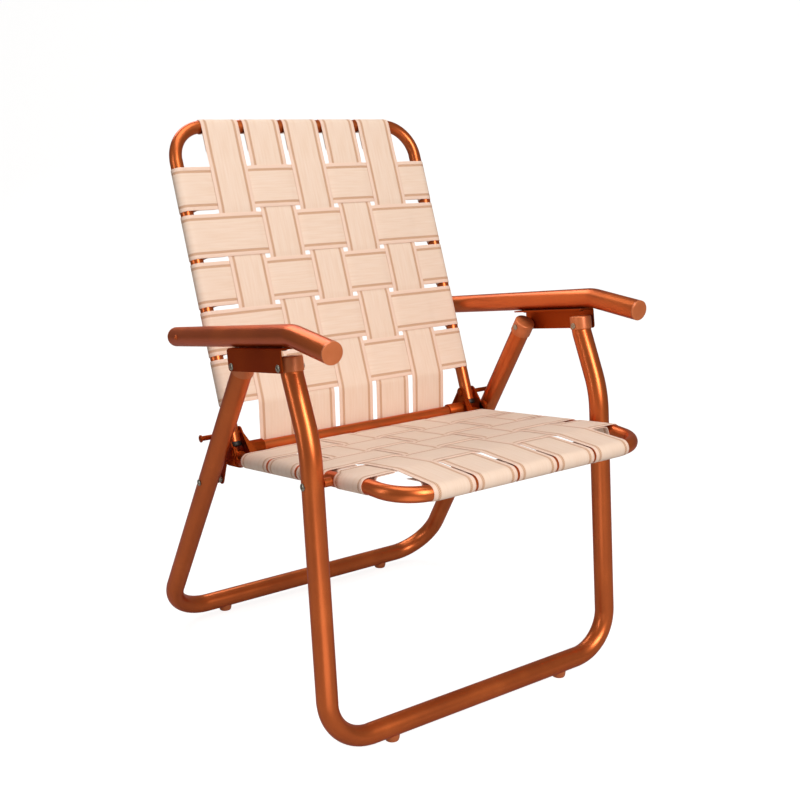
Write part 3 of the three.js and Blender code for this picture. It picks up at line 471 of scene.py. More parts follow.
def swept_tube(corners, radii, radius):
    """A hollow tube along a route, open at both ends."""
    stations = bent_route(corners, radii)
    shell = Shell()
    tangent = stations[0][1]
    side = tangent.orthogonal().normalized()
    rings = {radius: [], radius - TUBE_WALL: []}
    for point, heading, centreward, squash in stations:
        side = (side - heading * side.dot(heading)).normalized()
        up = heading.cross(side)
        for size, ring in rings.items():
            for k in range(TUBE_SIDES):
                angle = 2 * math.pi * k / TUBE_SIDES
                out = side * math.cos(angle) + up * math.sin(angle)
                out = out * (1 + BEND_SQUASH / 2 * squash)
                out = out - centreward * (out.dot(centreward) * BEND_SQUASH * 1.5 * squash)
                ring.append(point + out * size)
    outer, inner = rings[radius], rings[radius - TUBE_WALL]
    inside, end = len(outer), len(stations) - 1

    def at(row, k):
        return row * TUBE_SIDES + k % TUBE_SIDES

    faces = []
    for row in range(end):
        for k in range(TUBE_SIDES):
            faces.append((at(row, k), at(row, k + 1), at(row + 1, k + 1), at(row + 1, k)))
            faces.append((inside + at(row, k), inside + at(row + 1, k),
                          inside + at(row + 1, k + 1), inside + at(row, k + 1)))
    for k in range(TUBE_SIDES):
        faces.append((at(0, k + 1), at(0, k), inside + at(0, k), inside + at(0, k + 1)))
        faces.append((at(end, k), at(end, k + 1), inside + at(end, k + 1), inside + at(end, k)))
    return shell.add(outer + inner, faces)


def both_sides(half):
    """The corners of one half of a tube, then its other half, mirrored."""
    return half + [(-x, y, z) for x, y, z in reversed(half)]


print("tubes have", TUBE_SIDES, "sides and walls of", TUBE_WALL, "mm")

# %% [markdown]
# ## The leg frames
#
# Each leg frame is one tube bent into a U: floor bar, two corners and two legs. The front
# legs also lean back above the seat, and straighten up again just under their caps. The rear
# legs run straight, and spread a little towards the floor.

# %% Leg tubes
LEG_RADIUS = 14.3
LEG_TOP_HALF = 244.3           # middle of the chair to a leg, at the arms
FRONT_BAR_HALF = 246.0         # and at the front and rear floor bars
REAR_BAR_HALF = 260.5
WHEELBASE = 489.0
KNEE, SHOULDER = (38.2, 414.2), (78.4, 498.2)
KNEE_BEND, SHOULDER_BEND = 150, 25
FRONT_CORNER, REAR_CORNER = 62, 70
FRONT_TOP, REAR_TOP = 12.0, 8.5    # tube's end above its pivot
REAR_RISE = REAR_PIVOT[1] - BAR_Z
FRONT_HEADING = Vector((0, FRONT_PIVOT[0] - SHOULDER[0], FRONT_PIVOT[1] - SHOULDER[1])).normalized()
REAR_HEADING = Vector((
    LEG_TOP_HALF - REAR_BAR_HALF, REAR_PIVOT[0] - WHEELBASE, REAR_RISE)).normalized()

front_top = Vector((LEG_TOP_HALF, *FRONT_PIVOT)) + FRONT_HEADING * FRONT_TOP
rear_top = Vector((LEG_TOP_HALF, *REAR_PIVOT)) + REAR_HEADING * REAR_TOP
front_bends = [SHOULDER_BEND, KNEE_BEND, FRONT_CORNER]
front_route = both_sides([
    tuple(front_top), (LEG_TOP_HALF, *SHOULDER), (LEG_TOP_HALF, *KNEE), (FRONT_BAR_HALF, 0, BAR_Z)])
front_legs = make_piece("front_leg_tube",
                        swept_tube(front_route, front_bends + front_bends[::-1], LEG_RADIUS),
                        CHAIR, PAINT, "front_legs", ["front_leg_frame"])
rear_route = both_sides([tuple(rear_top), (REAR_BAR_HALF, WHEELBASE, BAR_Z)])
rear_legs = make_piece("rear_leg_tube",
                       swept_tube(rear_route, [REAR_CORNER, REAR_CORNER], LEG_RADIUS),
                       CHAIR, PAINT, "rear_legs", ["rear_leg_frame"])
print("leg tubes:", len(front_legs.data.polygons), "and", len(rear_legs.data.polygons), "faces")

# %% [markdown]
# ## Turned pieces
#
# Caps, plugs, rivets and pins are round, so each is a profile turned about an axis. The Screw
# modifier or the Spin tool would do this from a drawn line. A function is shorter here,
# because there are many of them and each points its own way.

# %% Lathe
LATHE_SIDES = 40


def lathe(profile, centre, heading=(0, 0, 1), shell=None):
    """A profile of (distance along the axis, radius), turned about an axis through centre."""
    shell = shell or Shell()
    turn = Vector((0, 0, 1)).rotation_difference(Vector(heading)).to_matrix().to_4x4()
    place = Matrix.Translation(Vector(centre)) @ turn
    angles = [2 * math.pi * k / LATHE_SIDES for k in range(LATHE_SIDES)]
    points, rows = [], []
    for along, radius in profile:
        if radius < 1e-6:
            rows.append([len(points)] * LATHE_SIDES)
            points.append((0, 0, along))
            continue
        rows.append(list(range(len(points), len(points) + LATHE_SIDES)))
        points += [(radius * math.cos(a), radius * math.sin(a), along) for a in angles]
    faces = []
    for low, high in zip(rows, rows[1:]):
        for k in range(LATHE_SIDES):
            n = (k + 1) % LATHE_SIDES
            corners = [low[k], low[n], high[n], high[k]]
            corners = [c for i, c in enumerate(corners) if c not in corners[:i]]
            if len(corners) > 2:
                faces.append(tuple(corners))
    return shell.add(points, faces, place)


def rounded(along, radius, size, start, end, steps=4):
    """Profile points of a rounded corner, whose centre is at (along, radius)."""
    turns = [math.radians(start + (end - start) * i / steps) for i in range(steps + 1)]
    return [(along + size * math.sin(a), radius + size * math.cos(a)) for a in turns]


print("turned pieces have", LATHE_SIDES, "sides")

# %% [markdown]
# ## Leg caps and feet
#
# A plastic cap is pushed over the top of each leg, with a skirt of about 20 mm and a softly
# rounded edge. The four feet are short plastic studs, saddle-shaped on top where they meet the
# floor bar, so that the chair doesn't slide or scratch.

# %% Caps on the legs
CAP_GAP, CAP_WALL, CAP_TOP = 0.3, 1.2, 1.4
CAP_RADIUS = LEG_RADIUS + CAP_GAP + CAP_WALL
CAP_EDGE = 2.2                 # rounding of the top edge
FRONT_SKIRT, REAR_SKIRT = 19.0, 22.0


def leg_cap(pivot, heading, above, skirt, sign):
    roof = above + CAP_GAP
    top = roof + CAP_TOP
    mouth = top - skirt
    inner = LEG_RADIUS + CAP_GAP
    profile = [(roof, 0), (roof, inner), (mouth + 0.3, inner), (mouth, inner + 0.4),
               (mouth, CAP_RADIUS - 0.4), (mouth + 0.4, CAP_RADIUS),
               *rounded(top - CAP_EDGE, CAP_RADIUS - CAP_EDGE, CAP_EDGE, 0, 80, 5),
               (top + 0.25, CAP_RADIUS * 0.55), (top + 0.4, 0)]
    centre = (sign * LEG_TOP_HALF, *pivot)
    return lathe(profile, centre, (sign * heading.x, heading.y, heading.z))


for word, sign in SIDES:
    front_cap = leg_cap(FRONT_PIVOT, FRONT_HEADING, FRONT_TOP, FRONT_SKIRT, sign)
    make_piece(f"front_leg_top_cap_{word}", front_cap, CHAIR, CAP_PLASTIC, "front_legs",
               [f"front_leg_cap_{word}"])
    rear_cap = leg_cap(REAR_PIVOT, REAR_HEADING, REAR_TOP, REAR_SKIRT, sign)
    make_piece(f"rear_leg_top_cap_{word}", rear_cap, CHAIR, CAP_PLASTIC, "rear_legs",
               [f"rear_leg_cap_{word}"])
print("cap outside radius:", CAP_RADIUS, "mm")

# %% Feet
FOOT_RADIUS, FOOT_TIP = 10.7, 9.6      # radius at the bar and near the floor
FRONT_FOOT_HALF, REAR_FOOT_HALF = 150, 157
SADDLE_GAP = 0.15              # under the floor bar


def foot(x, y):
    """A tapered stud whose top follows the round of the floor bar."""
    shell = Shell()
    saddle = LEG_RADIUS + SADDLE_GAP
    levels = [(0.0, FOOT_TIP - 1.2, False), (0.25, FOOT_TIP - 0.35, False), (1.2, FOOT_TIP, False),
              (3.4, (FOOT_TIP + FOOT_RADIUS) / 2, False), (None, FOOT_RADIUS, True)]
    points = []
    for level, radius, on_bar in levels:
        for k in range(LATHE_SIDES):
            angle = 2 * math.pi * k / LATHE_SIDES
            across, back = radius * math.cos(angle), radius * math.sin(angle)
            height = BAR_Z - math.sqrt(saddle ** 2 - back ** 2) if on_bar else level
            points.append((x + across, y + back, height))
    faces = [tuple(range(LATHE_SIDES))[::-1]]
    for row in range(len(levels) - 1):
        for k in range(LATHE_SIDES):
            n = (k + 1) % LATHE_SIDES
            low, high = row * LATHE_SIDES, (row + 1) * LATHE_SIDES
            faces.append((low + k, low + n, high + n, high + k))
    points.append((x, y, BAR_Z - saddle))
    last = (len(levels) - 1) * LATHE_SIDES
    faces += [(last + k, last + (k + 1) % LATHE_SIDES, len(points) - 1) for k in range(LATHE_SIDES)]
    return shell.add(points, faces)


for word, sign in SIDES:
    make_piece(f"front_stud_{word}", foot(sign * FRONT_FOOT_HALF, 0), CHAIR, CAP_PLASTIC,
               "front_legs", [f"front_foot_{word}"])
    make_piece(f"rear_stud_{word}", foot(sign * REAR_FOOT_HALF, WHEELBASE), CHAIR, CAP_PLASTIC,
               "rear_legs", [f"rear_foot_{word}"])
print("feet stand", round(BAR_Z - LEG_RADIUS, 1), "mm under the bars")

# %% [markdown]
# ## The arms
#
# Each arm is a tube that dips at the front. A flat cap closes its front end, a domed one its
# rear end. Under it sits a pressed steel plate, bent over at the top and riveted to the two
# legs, which turn on the rivets.

# %% Arm tubes and caps
ARM_RADIUS, ARM_HALF, ARM_RISE = 14.3, 250.0, 39.1
ARM_FRONT, ARM_DROP, ARM_KNEE, ARM_REAR = 109.5, 20.2, 22.6, 332.0
ARM_BEND = 45
ARM_HEADING = Vector((0, ARM_KNEE - ARM_FRONT, -ARM_DROP)).normalized()
SEAM = 0.15                    # fine gap between a tube's end and the plug's rim
STEM = [(-12, 0), (-12, ARM_RADIUS - 2), (SEAM, ARM_RADIUS - 2)]    # profile inside the tube
DOME_SHARE = 0.76              # height of the rear dome, as a share of its radius


def arm_front_cap(x):
    """A plug: a stem inside the tube and a slightly domed disc over its end."""
    r = ARM_RADIUS
    profile = [*STEM, (SEAM, r - 0.1), (0.4, r), (1.9, r), *rounded(1.9, r - 1.1, 1.1, 0, 85, 5),
               (3.25, r * 0.6), (3.4, 0)]
    return lathe(profile, (x, -ARM_FRONT, ARM_RISE - ARM_DROP), ARM_HEADING)


def arm_rear_dome(x):
    """A plug with the same stem and a high dome."""
    start = 2 * SEAM
    ball = rounded(start, 0.0, ARM_RADIUS, 0, 90, 12)
    dome = [(start + (a - start) * DOME_SHARE, r) for a, r in ball]
    return lathe([*STEM, (SEAM, ARM_RADIUS - 0.15), *dome], (x, ARM_REAR, ARM_RISE), (0, 1, 0))


for word, sign in SIDES:
    x = sign * ARM_HALF
    make_piece(f"armrest_tube_{word}", swept_tube([
        (x, -ARM_FRONT, ARM_RISE - ARM_DROP), (x, -ARM_KNEE, ARM_RISE), (x, ARM_REAR, ARM_RISE)],
        [ARM_BEND], ARM_RADIUS), ARM, PAINT, "arms", [f"arm_tube_{word}"])
    make_piece(f"armrest_front_plug_{word}", arm_front_cap(x), ARM, CAP_PLASTIC, "arms",
               [f"arm_front_cap_{word}"])
    make_piece(f"armrest_rear_dome_{word}", arm_rear_dome(x), ARM, CAP_PLASTIC, "arms",
               [f"arm_rear_cap_{word}"])
print("arms rise", ARM_RISE, "mm over the line of their pivots")

# %% [markdown]
# A pressed plate keeps one thickness all over, also round its fold. So it is made as it would
# be pressed: a flat blank with rounded corners, whose points are then rolled round the fold.
# Extruding the folded section would leave the lower corners square.

# %% Arm plates
PLATE, PLATE_BELOW, PLATE_AHEAD, FOLD_RADIUS, FLANGE = 2.2, 6.0, 9.5, 4.0, 26.0
PLATE_CORNER = 4.5
PLATE_COLUMNS = 24
PIVOT_SPACING = math.hypot(FRONT_PIVOT[1] - REAR_PIVOT[1], REAR_PIVOT[0] - FRONT_PIVOT[0])
PLATE_FACE = LEG_TOP_HALF + CAP_RADIUS + 2 * FIT
FLANGE_TOP = ARM_RISE - ARM_RADIUS - FIT


def arm_plate(sign):
    """Section points run up the plate, round the fold and in along the flange."""
    outer = PLATE_FACE + PLATE
    fold_x, fold_z = outer - FOLD_RADIUS, FLANGE_TOP - FOLD_RADIUS
    turns = [math.radians(a) for a in range(0, 91, 15)]
    # Each section point is (x, z, outward direction)
    section = [(outer, -PLATE_BELOW + PLATE_CORNER * (1 - math.cos(a)), (1, 0)) for a in turns]
    section.append((outer, fold_z * 0.5, (1, 0)))
    section += [(fold_x + FOLD_RADIUS * math.cos(a), fold_z + FOLD_RADIUS * math.sin(a),
                 (math.cos(a), math.sin(a))) for a in turns]
    section += [(fold_x - (FLANGE - FOLD_RADIUS) * t, FLANGE_TOP, (0, 1)) for t in (0.5, 1.0)]
    shell = Shell()
    columns = PLATE_COLUMNS
    near, far = -PLATE_AHEAD, PIVOT_SPACING + PLATE_AHEAD
    points = []
    for depth in (0, PLATE):
        for x, z, (nx, nz) in section:
            rise = min(PLATE_CORNER, z + PLATE_BELOW) if x == outer else PLATE_CORNER
            left = max(0.0, PLATE_CORNER ** 2 - (PLATE_CORNER - rise) ** 2)
            inset = PLATE_CORNER - math.sqrt(left)
            for c in range(columns + 1):
                y = near + inset + (far - near - 2 * inset) * c / columns
                points.append((x - nx * depth, y, z - nz * depth))
    rows, width = len(section), columns + 1
    back = rows * width
    faces = []
    for r in range(rows - 1):
        for c in range(columns):
            a, b = r * width + c, (r + 1) * width + c
            faces.append((a, a + 1, b + 1, b))
            faces.append((back + a, back + b, back + b + 1, back + a + 1))
    for r in range(rows - 1):
        for c in (0, columns):
            a, b = r * width + c, (r + 1) * width + c
            face = (a, b, back + b, back + a)
            faces.append(face if c == 0 else face[::-1])
    for c in range(columns):
        for r in (0, rows - 1):
            a = r * width + c
            face = (a, back + a, back + a + 1, a + 1)
            faces.append(face if r == 0 else face[::-1])
    return shell.add(points, faces).mirrored(sign)


# %% [markdown]
# A pop rivet shows a domed flange with a hollow in it, where its nail broke off. The hollow is
# modelled, because it is the dark dot that makes the eye read a rivet.

# %% Rivets and screws
RIVET_RADIUS, HEAD_RADIUS, HEAD_HEIGHT, TAIL_RADIUS, TAIL_HEIGHT = 2.8, 5.0, 1.9, 4.4, 0.6
HOLLOW_RADIUS, HOLLOW_DEPTH = 1.9, 3.4
HEAD_GAP = 0.1                 # under a rivet's head
SCREW_INSET = 2.5              # a flange screw, in from its rivet
DOME_RIVET_AHEAD = 29          # the dome's rivet, ahead of the arm's rear end


def rivet_head(face):
    """The outer end of a rivet's profile, with its hollow."""
    radius, height = HEAD_RADIUS, HEAD_HEIGHT
    return [(face, radius - 0.2), (face + 0.25, radius), (face + height * 0.45, radius * 0.94),
            (face + height * 0.8, radius * 0.74), (face + height, radius * 0.52),
            (face + height * 0.95, HOLLOW_RADIUS + 0.2), (face + height * 0.75, HOLLOW_RADIUS),
            (face + height - HOLLOW_DEPTH, HOLLOW_RADIUS * 0.92), (face + height - HOLLOW_DEPTH, 0)]


def rivet(inner, outer):
    """A rivet's profile, from its pressed tail at inner to its head at outer."""
    tail = inner - TAIL_HEIGHT
    return [(tail, 0), (tail, TAIL_RADIUS - 0.2), (tail + 0.2, TAIL_RADIUS), (inner, TAIL_RADIUS),
            (inner, RIVET_RADIUS), (outer, RIVET_RADIUS), *rivet_head(outer)]


def leg_rivet(y):
    inner, outer = LEG_TOP_HALF - CAP_RADIUS - FIT, PLATE_FACE + PLATE + HEAD_GAP
    return lathe(rivet(inner, outer), (0, y, 0), (1, 0, 0))


def flange_screw(y):
    """A pan head under the flange, with a cross recess too small to matter left out."""
    head = FLANGE_TOP - PLATE
    return lathe([(head - 1.8, 0), (head - 1.8, 1.6), (head - 1.5, 2.8), (head - 0.9, 3.7),
                  (head - 0.1, 4.0), (head, 4.0), (head, 2.2), (head + 10, 2.2), (head + 10.2, 0)],
                 (ARM_HALF, y, 0))


def dome_rivet():
    """The small rivet through the arm that holds its rear dome's plug."""
    face = ARM_HALF + ARM_RADIUS - FIT
    return lathe([(face - 2, 0), (face - 2, 1.6), (face, 1.6), (face, 3.2), (face + 0.3, 3.8),
                  (face + 1.2, 3.4), (face + 1.6, 2.6), (face + 1.2, 2.0), (face - 1.0, 1.8),
                  (face - 1.0, 0)], (0, ARM_REAR - DOME_RIVET_AHEAD, ARM_RISE), (1, 0, 0))


for word, sign in SIDES:
    make_piece(f"dome_rivet_{word}", dome_rivet().mirrored(sign), ARM, PAINT, "arms")
    make_piece(f"armrest_plate_{word}", arm_plate(sign), ARM, PLATE_PAINT_WITH_PAINTED_SHADE, "arms",
               [f"arm_bracket_{word}"], bevel=0.45)
    for end, y, inward in (("front", 0.0, 1), ("rear", PIVOT_SPACING, -1)):
        make_piece(f"{end}_pop_rivet_{word}", leg_rivet(y).mirrored(sign), ARM, NICKEL, "arms",
                   [f"{end}_leg_rivet_{word}"])
        screw = flange_screw(y + inward * SCREW_INSET).mirrored(sign)
        make_piece(f"{end}_flange_screw_{word}", screw, ARM, NICKEL, "arms",
                   [f"{end}_bracket_screw_{word}"])
print("rivets", round(PIVOT_SPACING, 1), "mm apart")

# %% [markdown]
# ## The seat frame and the hinge
#
# The seat frame is a U of thinner tube, open at the rear. Its rails close in towards the front
# and turn down a little there. At the rear each rail ends in a hinge bracket: two ears for the
# back's side tube, a socket for the rail and a sleeve for the cross bar.

# %% Seat frame
FRAME_RADIUS = 9.8
SEAT_REAR_HALF, SEAT_BEND_HALF, SEAT_FRONT_HALF = 215.5, 206.8, 198.9
SEAT_RAIL_BACK, SEAT_BEND_AHEAD, SEAT_FRONT_AHEAD, SEAT_FRONT_DROP = 287.8, 67.2, 129.6, 9.2
SEAT_CORNER, RAIL_BEND = 51.0, 60
# Places in the seat's side view are [back from its rivets, up]
BAR_AT = (274.5, 11.8)
HINGE_AT = (277.6, 36.9)
LINK_PIN_AT = (251.4, 13.2)
BAR_RADIUS = 8.0
EAR, EAR_INNER, EAR_OUTER = 2.2, 202.6, 226.2
EAR_FRONT, EAR_BACK, EAR_FOOT, EAR_TOP = 243.0, 302.0, 3.0, 9.0


def rail_half(y):
    """Half the distance between the rails, at a place along them."""
    return SEAT_BEND_HALF + (SEAT_REAR_HALF - SEAT_BEND_HALF) * (y + SEAT_BEND_AHEAD) / (
        SEAT_RAIL_BACK + SEAT_BEND_AHEAD)


rail_route = both_sides([
    (SEAT_REAR_HALF, SEAT_RAIL_BACK, 0), (SEAT_BEND_HALF, -SEAT_BEND_AHEAD, 0),
    (SEAT_FRONT_HALF, -SEAT_FRONT_AHEAD, -SEAT_FRONT_DROP)])
rail_bends = [RAIL_BEND, SEAT_CORNER, SEAT_CORNER, RAIL_BEND]
make_piece("seat_rail_tube", swept_tube(rail_route, rail_bends, FRAME_RADIUS), SEAT, PAINT, "seat",
           ["seat_frame"])
bar_end, bar_bore = EAR_INNER + EAR, BAR_RADIUS - TUBE_WALL
make_piece("seat_cross_tube", lathe([
    (-bar_end, bar_bore), (-bar_end, BAR_RADIUS), (bar_end, BAR_RADIUS), (bar_end, bar_bore),
    (-bar_end, bar_bore)], (0, *BAR_AT), (1, 0, 0)), SEAT, PAINT, "seat", ["cross_bar"])
print("rails", 2 * SEAT_REAR_HALF, "mm apart at the rear")

# %% [markdown]
# The bracket is welded up from pressed parts. Each part is a prism: an outline given some
# thickness. Its edges are rounded by the Bevel modifier, as tumbling rounds real pressings.

# %% Hinge brackets
LINK_FACE, LINK_PLATE, LINK_HALF = 228.9, 2.0, 8.5
EYE_RADIUS, LINK_PIN_RADIUS = 8.5, 3.0
SLEEVE_BORE, SLEEVE_RADIUS, SLEEVE_MOUTH = 8.3, 10.6, 170.5
SOCKET_BORE, SOCKET_RADIUS, SOCKET_FRONT, SOCKET_REAR, SOCKET_WALL = 10.1, 12.2, 259.0, 288.5, 1.5
EDGE_FOOT, EDGE_TOP = 14, 3    # widths of an ear's turned-in edge


def prism(outline, depth, shell):
    """A closed prism from an outline of 3D points, pushed along a vector."""
    depth = Vector(depth)
    low = [Vector(p) for p in outline]
    count = len(low)
    faces = [tuple(range(count))[::-1], tuple(range(count, 2 * count))]
    faces += [(i, (i + 1) % count, count + (i + 1) % count, count + i) for i in range(count)]
    return shell.add(low + [p + depth for p in low], faces)


def arc(centre, radius, start, end, steps=8):
    turns = [math.radians(start + (end - start) * i / steps) for i in range(steps + 1)]
    return [(centre[0] + radius * math.cos(a), centre[1] + radius * math.sin(a)) for a in turns]


def hinge_bracket(sign):
    shell = Shell()
    ear = [(EAR_FRONT, EAR_FOOT), (EAR_BACK, EAR_FOOT), *arc(HINGE_AT, EAR_TOP, 20, 150)]
    for face in (EAR_INNER, EAR_OUTER):
        prism([(face, y, z) for y, z in ear], (EAR, 0, 0), shell)
    # The inner ear's turned-in edges, wide at the foot and narrow at the top
    for edge, direction in ((EAR_FRONT, -1), (EAR_BACK, 1)):
        top = (HINGE_AT[0] + direction * EAR_TOP, HINGE_AT[1])
        lean = Vector((0, top[0] - edge, top[1] - EAR_FOOT)).normalized()
        inward = Vector((0, -direction * lean.z, direction * lean.y)) * EAR
        outline = [(bar_end, edge, EAR_FOOT), (bar_end - EDGE_FOOT, edge, EAR_FOOT),
                   (bar_end - EDGE_TOP, *top), (bar_end, *top)]
        prism(outline if direction < 0 else outline[::-1], inward, shell)
    # Eye, pin and head that carry the link
    eye, tip, r = EAR_OUTER + EAR, LINK_FACE + LINK_PLATE + FIT, LINK_PIN_RADIUS
    lathe([(EAR_OUTER, 0), (EAR_OUTER, EYE_RADIUS), (eye, EYE_RADIUS), (eye, r), (tip, r),
           (tip, 5.3), (tip + 0.3, 5.5), (tip + 1.1, 4.9), (tip + 1.6, 3.2), (tip + 1.6, 0)],
          (0, *LINK_PIN_AT), (1, 0, 0), shell)
    # Sleeve round the cross bar, with a rounded mouth
    bore, r, mouth = SLEEVE_BORE, SLEEVE_RADIUS, SLEEVE_MOUTH
    lathe([(bar_end, bore), (mouth + 0.3, bore), (mouth, bore + 0.4), (mouth, r - 0.4),
           (mouth + 0.5, r), (bar_end, r), (bar_end, bore)], (0, *BAR_AT), (1, 0, 0), shell)
    # Socket round the rail's rear end, closed behind it
    start = Vector((rail_half(SOCKET_FRONT), SOCKET_FRONT, 0))
    run = Vector((rail_half(SOCKET_REAR), SOCKET_REAR, 0)) - start
    bore, r, depth = SOCKET_BORE, SOCKET_RADIUS, run.length
    floor = depth - SOCKET_WALL
    lathe([(0, bore), (floor, bore), (floor, 0), (depth, 0), (depth, r - 0.6), (depth - 0.6, r),
           (0.5, r), (0, r - 0.4), (0, bore)], start, run.normalized(), shell)
    return shell.mirrored(sign)


for word, sign in SIDES:
    make_piece(f"hinge_fork_{word}", hinge_bracket(sign), SEAT, PLATE_PAINT_WITH_PAINTED_SHADE, "seat",
               [f"hinge_bracket_{word}"], bevel=0.35)
print("hinge pins", round(HINGE_AT[1] - BAR_AT[1], 1), "mm over the cross bar")

# %% [markdown]
# The seat turns on two long rivets through the front legs, with a spacer tube between leg and
# rail. The back turns on two stout pins, whose outer ends rest on the rear legs when the chair
# is open. Flat links tie the seat to the rear legs, so that the chair folds as one.

# %% Rivets, pins and links of the seat
LINK_RIVET_Z = 292.0
REAR_LEAN = (WHEELBASE - REAR_PIVOT[0]) / REAR_RISE
REAR_SPLAY = (REAR_BAR_HALF - LEG_TOP_HALF) / REAR_RISE
link_rivet_y = REAR_PIVOT[0] + REAR_LEAN * (REAR_PIVOT[1] - LINK_RIVET_Z)


def to_group(group, y, z):
    """A place in the chair's side view, as a group has it."""
    local = group.inverted() @ (CHAIR @ Vector((0, y, z)))
    return local.y, local.z


LINK_RIVET_AT = to_group(SEAT, link_rivet_y, LINK_RIVET_Z)
LINK_ELBOW = (281.0, LINK_PIN_AT[1] - 9)
SPACER_BORE, SPACER_RADIUS = 3.0, 6.0
PIN_RADIUS, PIN_HEAD = 3.6, 5.4
PIN_END = LEG_TOP_HALF + 21.7


def seat_rivet():
    down_leg = (KNEE[1] - SEAT_PIVOT[1]) / (KNEE[1] - BAR_Z)
    leg = LEG_TOP_HALF + (FRONT_BAR_HALF - LEG_TOP_HALF) * down_leg
    inner, outer = rail_half(0) - FRAME_RADIUS - FIT, leg + LEG_RADIUS + HEAD_GAP
    return lathe(rivet(inner, outer), (0, 0, 0), (1, 0, 0))


def seat_spacer():
    near, far = rail_half(0) + FRAME_RADIUS + FIT, LEG_TOP_HALF - LEG_RADIUS
    bore, r = SPACER_BORE, SPACER_RADIUS
    return lathe([(near, bore), (near, r - 0.3), (near + 0.3, r), (far - 0.3, r), (far, r - 0.3),
                  (far, bore), (near, bore)], (0, 0, 0), (1, 0, 0))


def back_pin():
    """A stout pin with a head inside the inner ear and a collar at its outer end."""
    head, ear, tip = EAR_INNER - 2.2, EAR_INNER - 0.2, PIN_END
    profile = [(head, 0), (head, 4.2), (head + 0.8, PIN_HEAD), (ear, PIN_HEAD), (ear, PIN_RADIUS),
               (tip - 2.2, PIN_RADIUS), (tip - 2.2, 5.2), (tip - 2.0, PIN_HEAD),
               (tip - 0.5, PIN_HEAD), (tip, 4.9), (tip, 3.0), (tip - 0.8, 2.4), (tip - 0.8, 0)]
    return lathe(profile, (0, *HINGE_AT), (1, 0, 0))


def degrees_of(direction):
    return math.degrees(math.atan2(direction.y, direction.x))


def link(sign):
    """A flat bar with round ends and one elbow."""
    near, elbow, far = Vector(LINK_PIN_AT), Vector(LINK_ELBOW), Vector(LINK_RIVET_AT)
    first, second = (elbow - near).normalized(), (far - elbow).normalized()
    mitre = (first + second).normalized()
    side = Vector((-mitre.y, mitre.x)) * LINK_HALF / mitre.dot(first)
    start, end = degrees_of(first), degrees_of(second)
    outline = [*arc(near, LINK_HALF, start + 90, start + 270, 14), tuple(elbow - side),
               *arc(far, LINK_HALF, end - 90, end + 90, 14), tuple(elbow + side)]
    flat = prism([(LINK_FACE, y, z) for y, z in outline], (LINK_PLATE, 0, 0), Shell())
    return flat.mirrored(sign)


def link_rivet():
    leg = LEG_TOP_HALF + REAR_SPLAY * (REAR_PIVOT[1] - LINK_RIVET_Z)
    near = LINK_FACE + LINK_PLATE + FIT
    leg_in, leg_out = leg - LEG_RADIUS - FIT, leg + LEG_RADIUS + HEAD_GAP
    return lathe([(near, 0), (near, SPACER_RADIUS), (leg_in, SPACER_RADIUS), (leg_in, RIVET_RADIUS),
                  (leg_out, RIVET_RADIUS), *rivet_head(leg_out)], (0, *LINK_RIVET_AT), (1, 0, 0))


for word, sign in SIDES:
    make_piece(f"seat_rivet_{word}", seat_rivet().mirrored(sign), SEAT, NICKEL, "seat",
               [f"seat_pivot_rivet_{word}"])
    make_piece(f"seat_spacer_{word}", seat_spacer().mirrored(sign), SEAT, PAINT, "seat")
    make_piece(f"hinge_pin_{word}", back_pin().mirrored(sign), SEAT, PLATE_PAINT_WITH_PAINTED_SHADE, "seat",
               [f"back_pivot_pin_{word}"])
    make_piece(f"folding_link_{word}", link(sign), SEAT, PLATE_PAINT_WITH_PAINTED_SHADE, "links",
               [f"seat_link_{word}"], bevel=0.35)
    make_piece(f"link_pop_rivet_{word}", link_rivet().mirrored(sign), SEAT, NICKEL, "rear_legs",
               [f"link_rivet_{word}"])
print("link length:", round(math.dist(LINK_PIN_AT, LINK_RIVET_AT), 1), "mm")

# %% [markdown]
# ## The back frame
#
# One more U, upside down, whose ends hang in the hinge brackets. Black plugs close them.

# %% Back frame and plugs
BACK_HALF, BACK_HEIGHT, BACK_TAIL, BACK_CORNER = 215.4, 462.2, 12.9, 53.0

hoop_route = both_sides([(BACK_HALF, 0, -BACK_TAIL), (BACK_HALF, 0, BACK_HEIGHT)])
make_piece("back_hoop_tube", swept_tube(hoop_route, [BACK_CORNER, BACK_CORNER], FRAME_RADIUS),
           BACK, PAINT, "back", ["back_frame"])


def tube_plug():
    top, r = -BACK_TAIL - SEAM, FRAME_RADIUS
    tip, stem = top - 7.15, top + 8
    return lathe([(tip, 0), (tip, r - 1.6), (tip + 0.45, r - 0.5), (tip + 1.35, r), (top - 0.3, r),
                  (top, r - 0.2), (top, r - 1.8), (stem, r - 2), (stem, 0)], (BACK_HALF, 0, 0))


for word, sign in SIDES:
    make_piece(f"hoop_plug_{word}", tube_plug().mirrored(sign), BACK, BLACK_PLASTIC, "back",
               [f"back_end_plug_{word}"])
print("back", BACK_HEIGHT, "mm from hinge to top rail")

# %% [markdown]
# ## The webbing
#
# The straps are what people see first. Each is one flat band that weaves over and under the
# straps that cross it, then goes round its tube and is sewn to its own back. A cloth
# simulation would pull it about and lose the clean weave, so each strap is modelled directly:
# a middle line in the side view, and a flat section with rounded edges carried along it.
# The weave's steps are soft ramps between crossings, as a taut strap makes them.

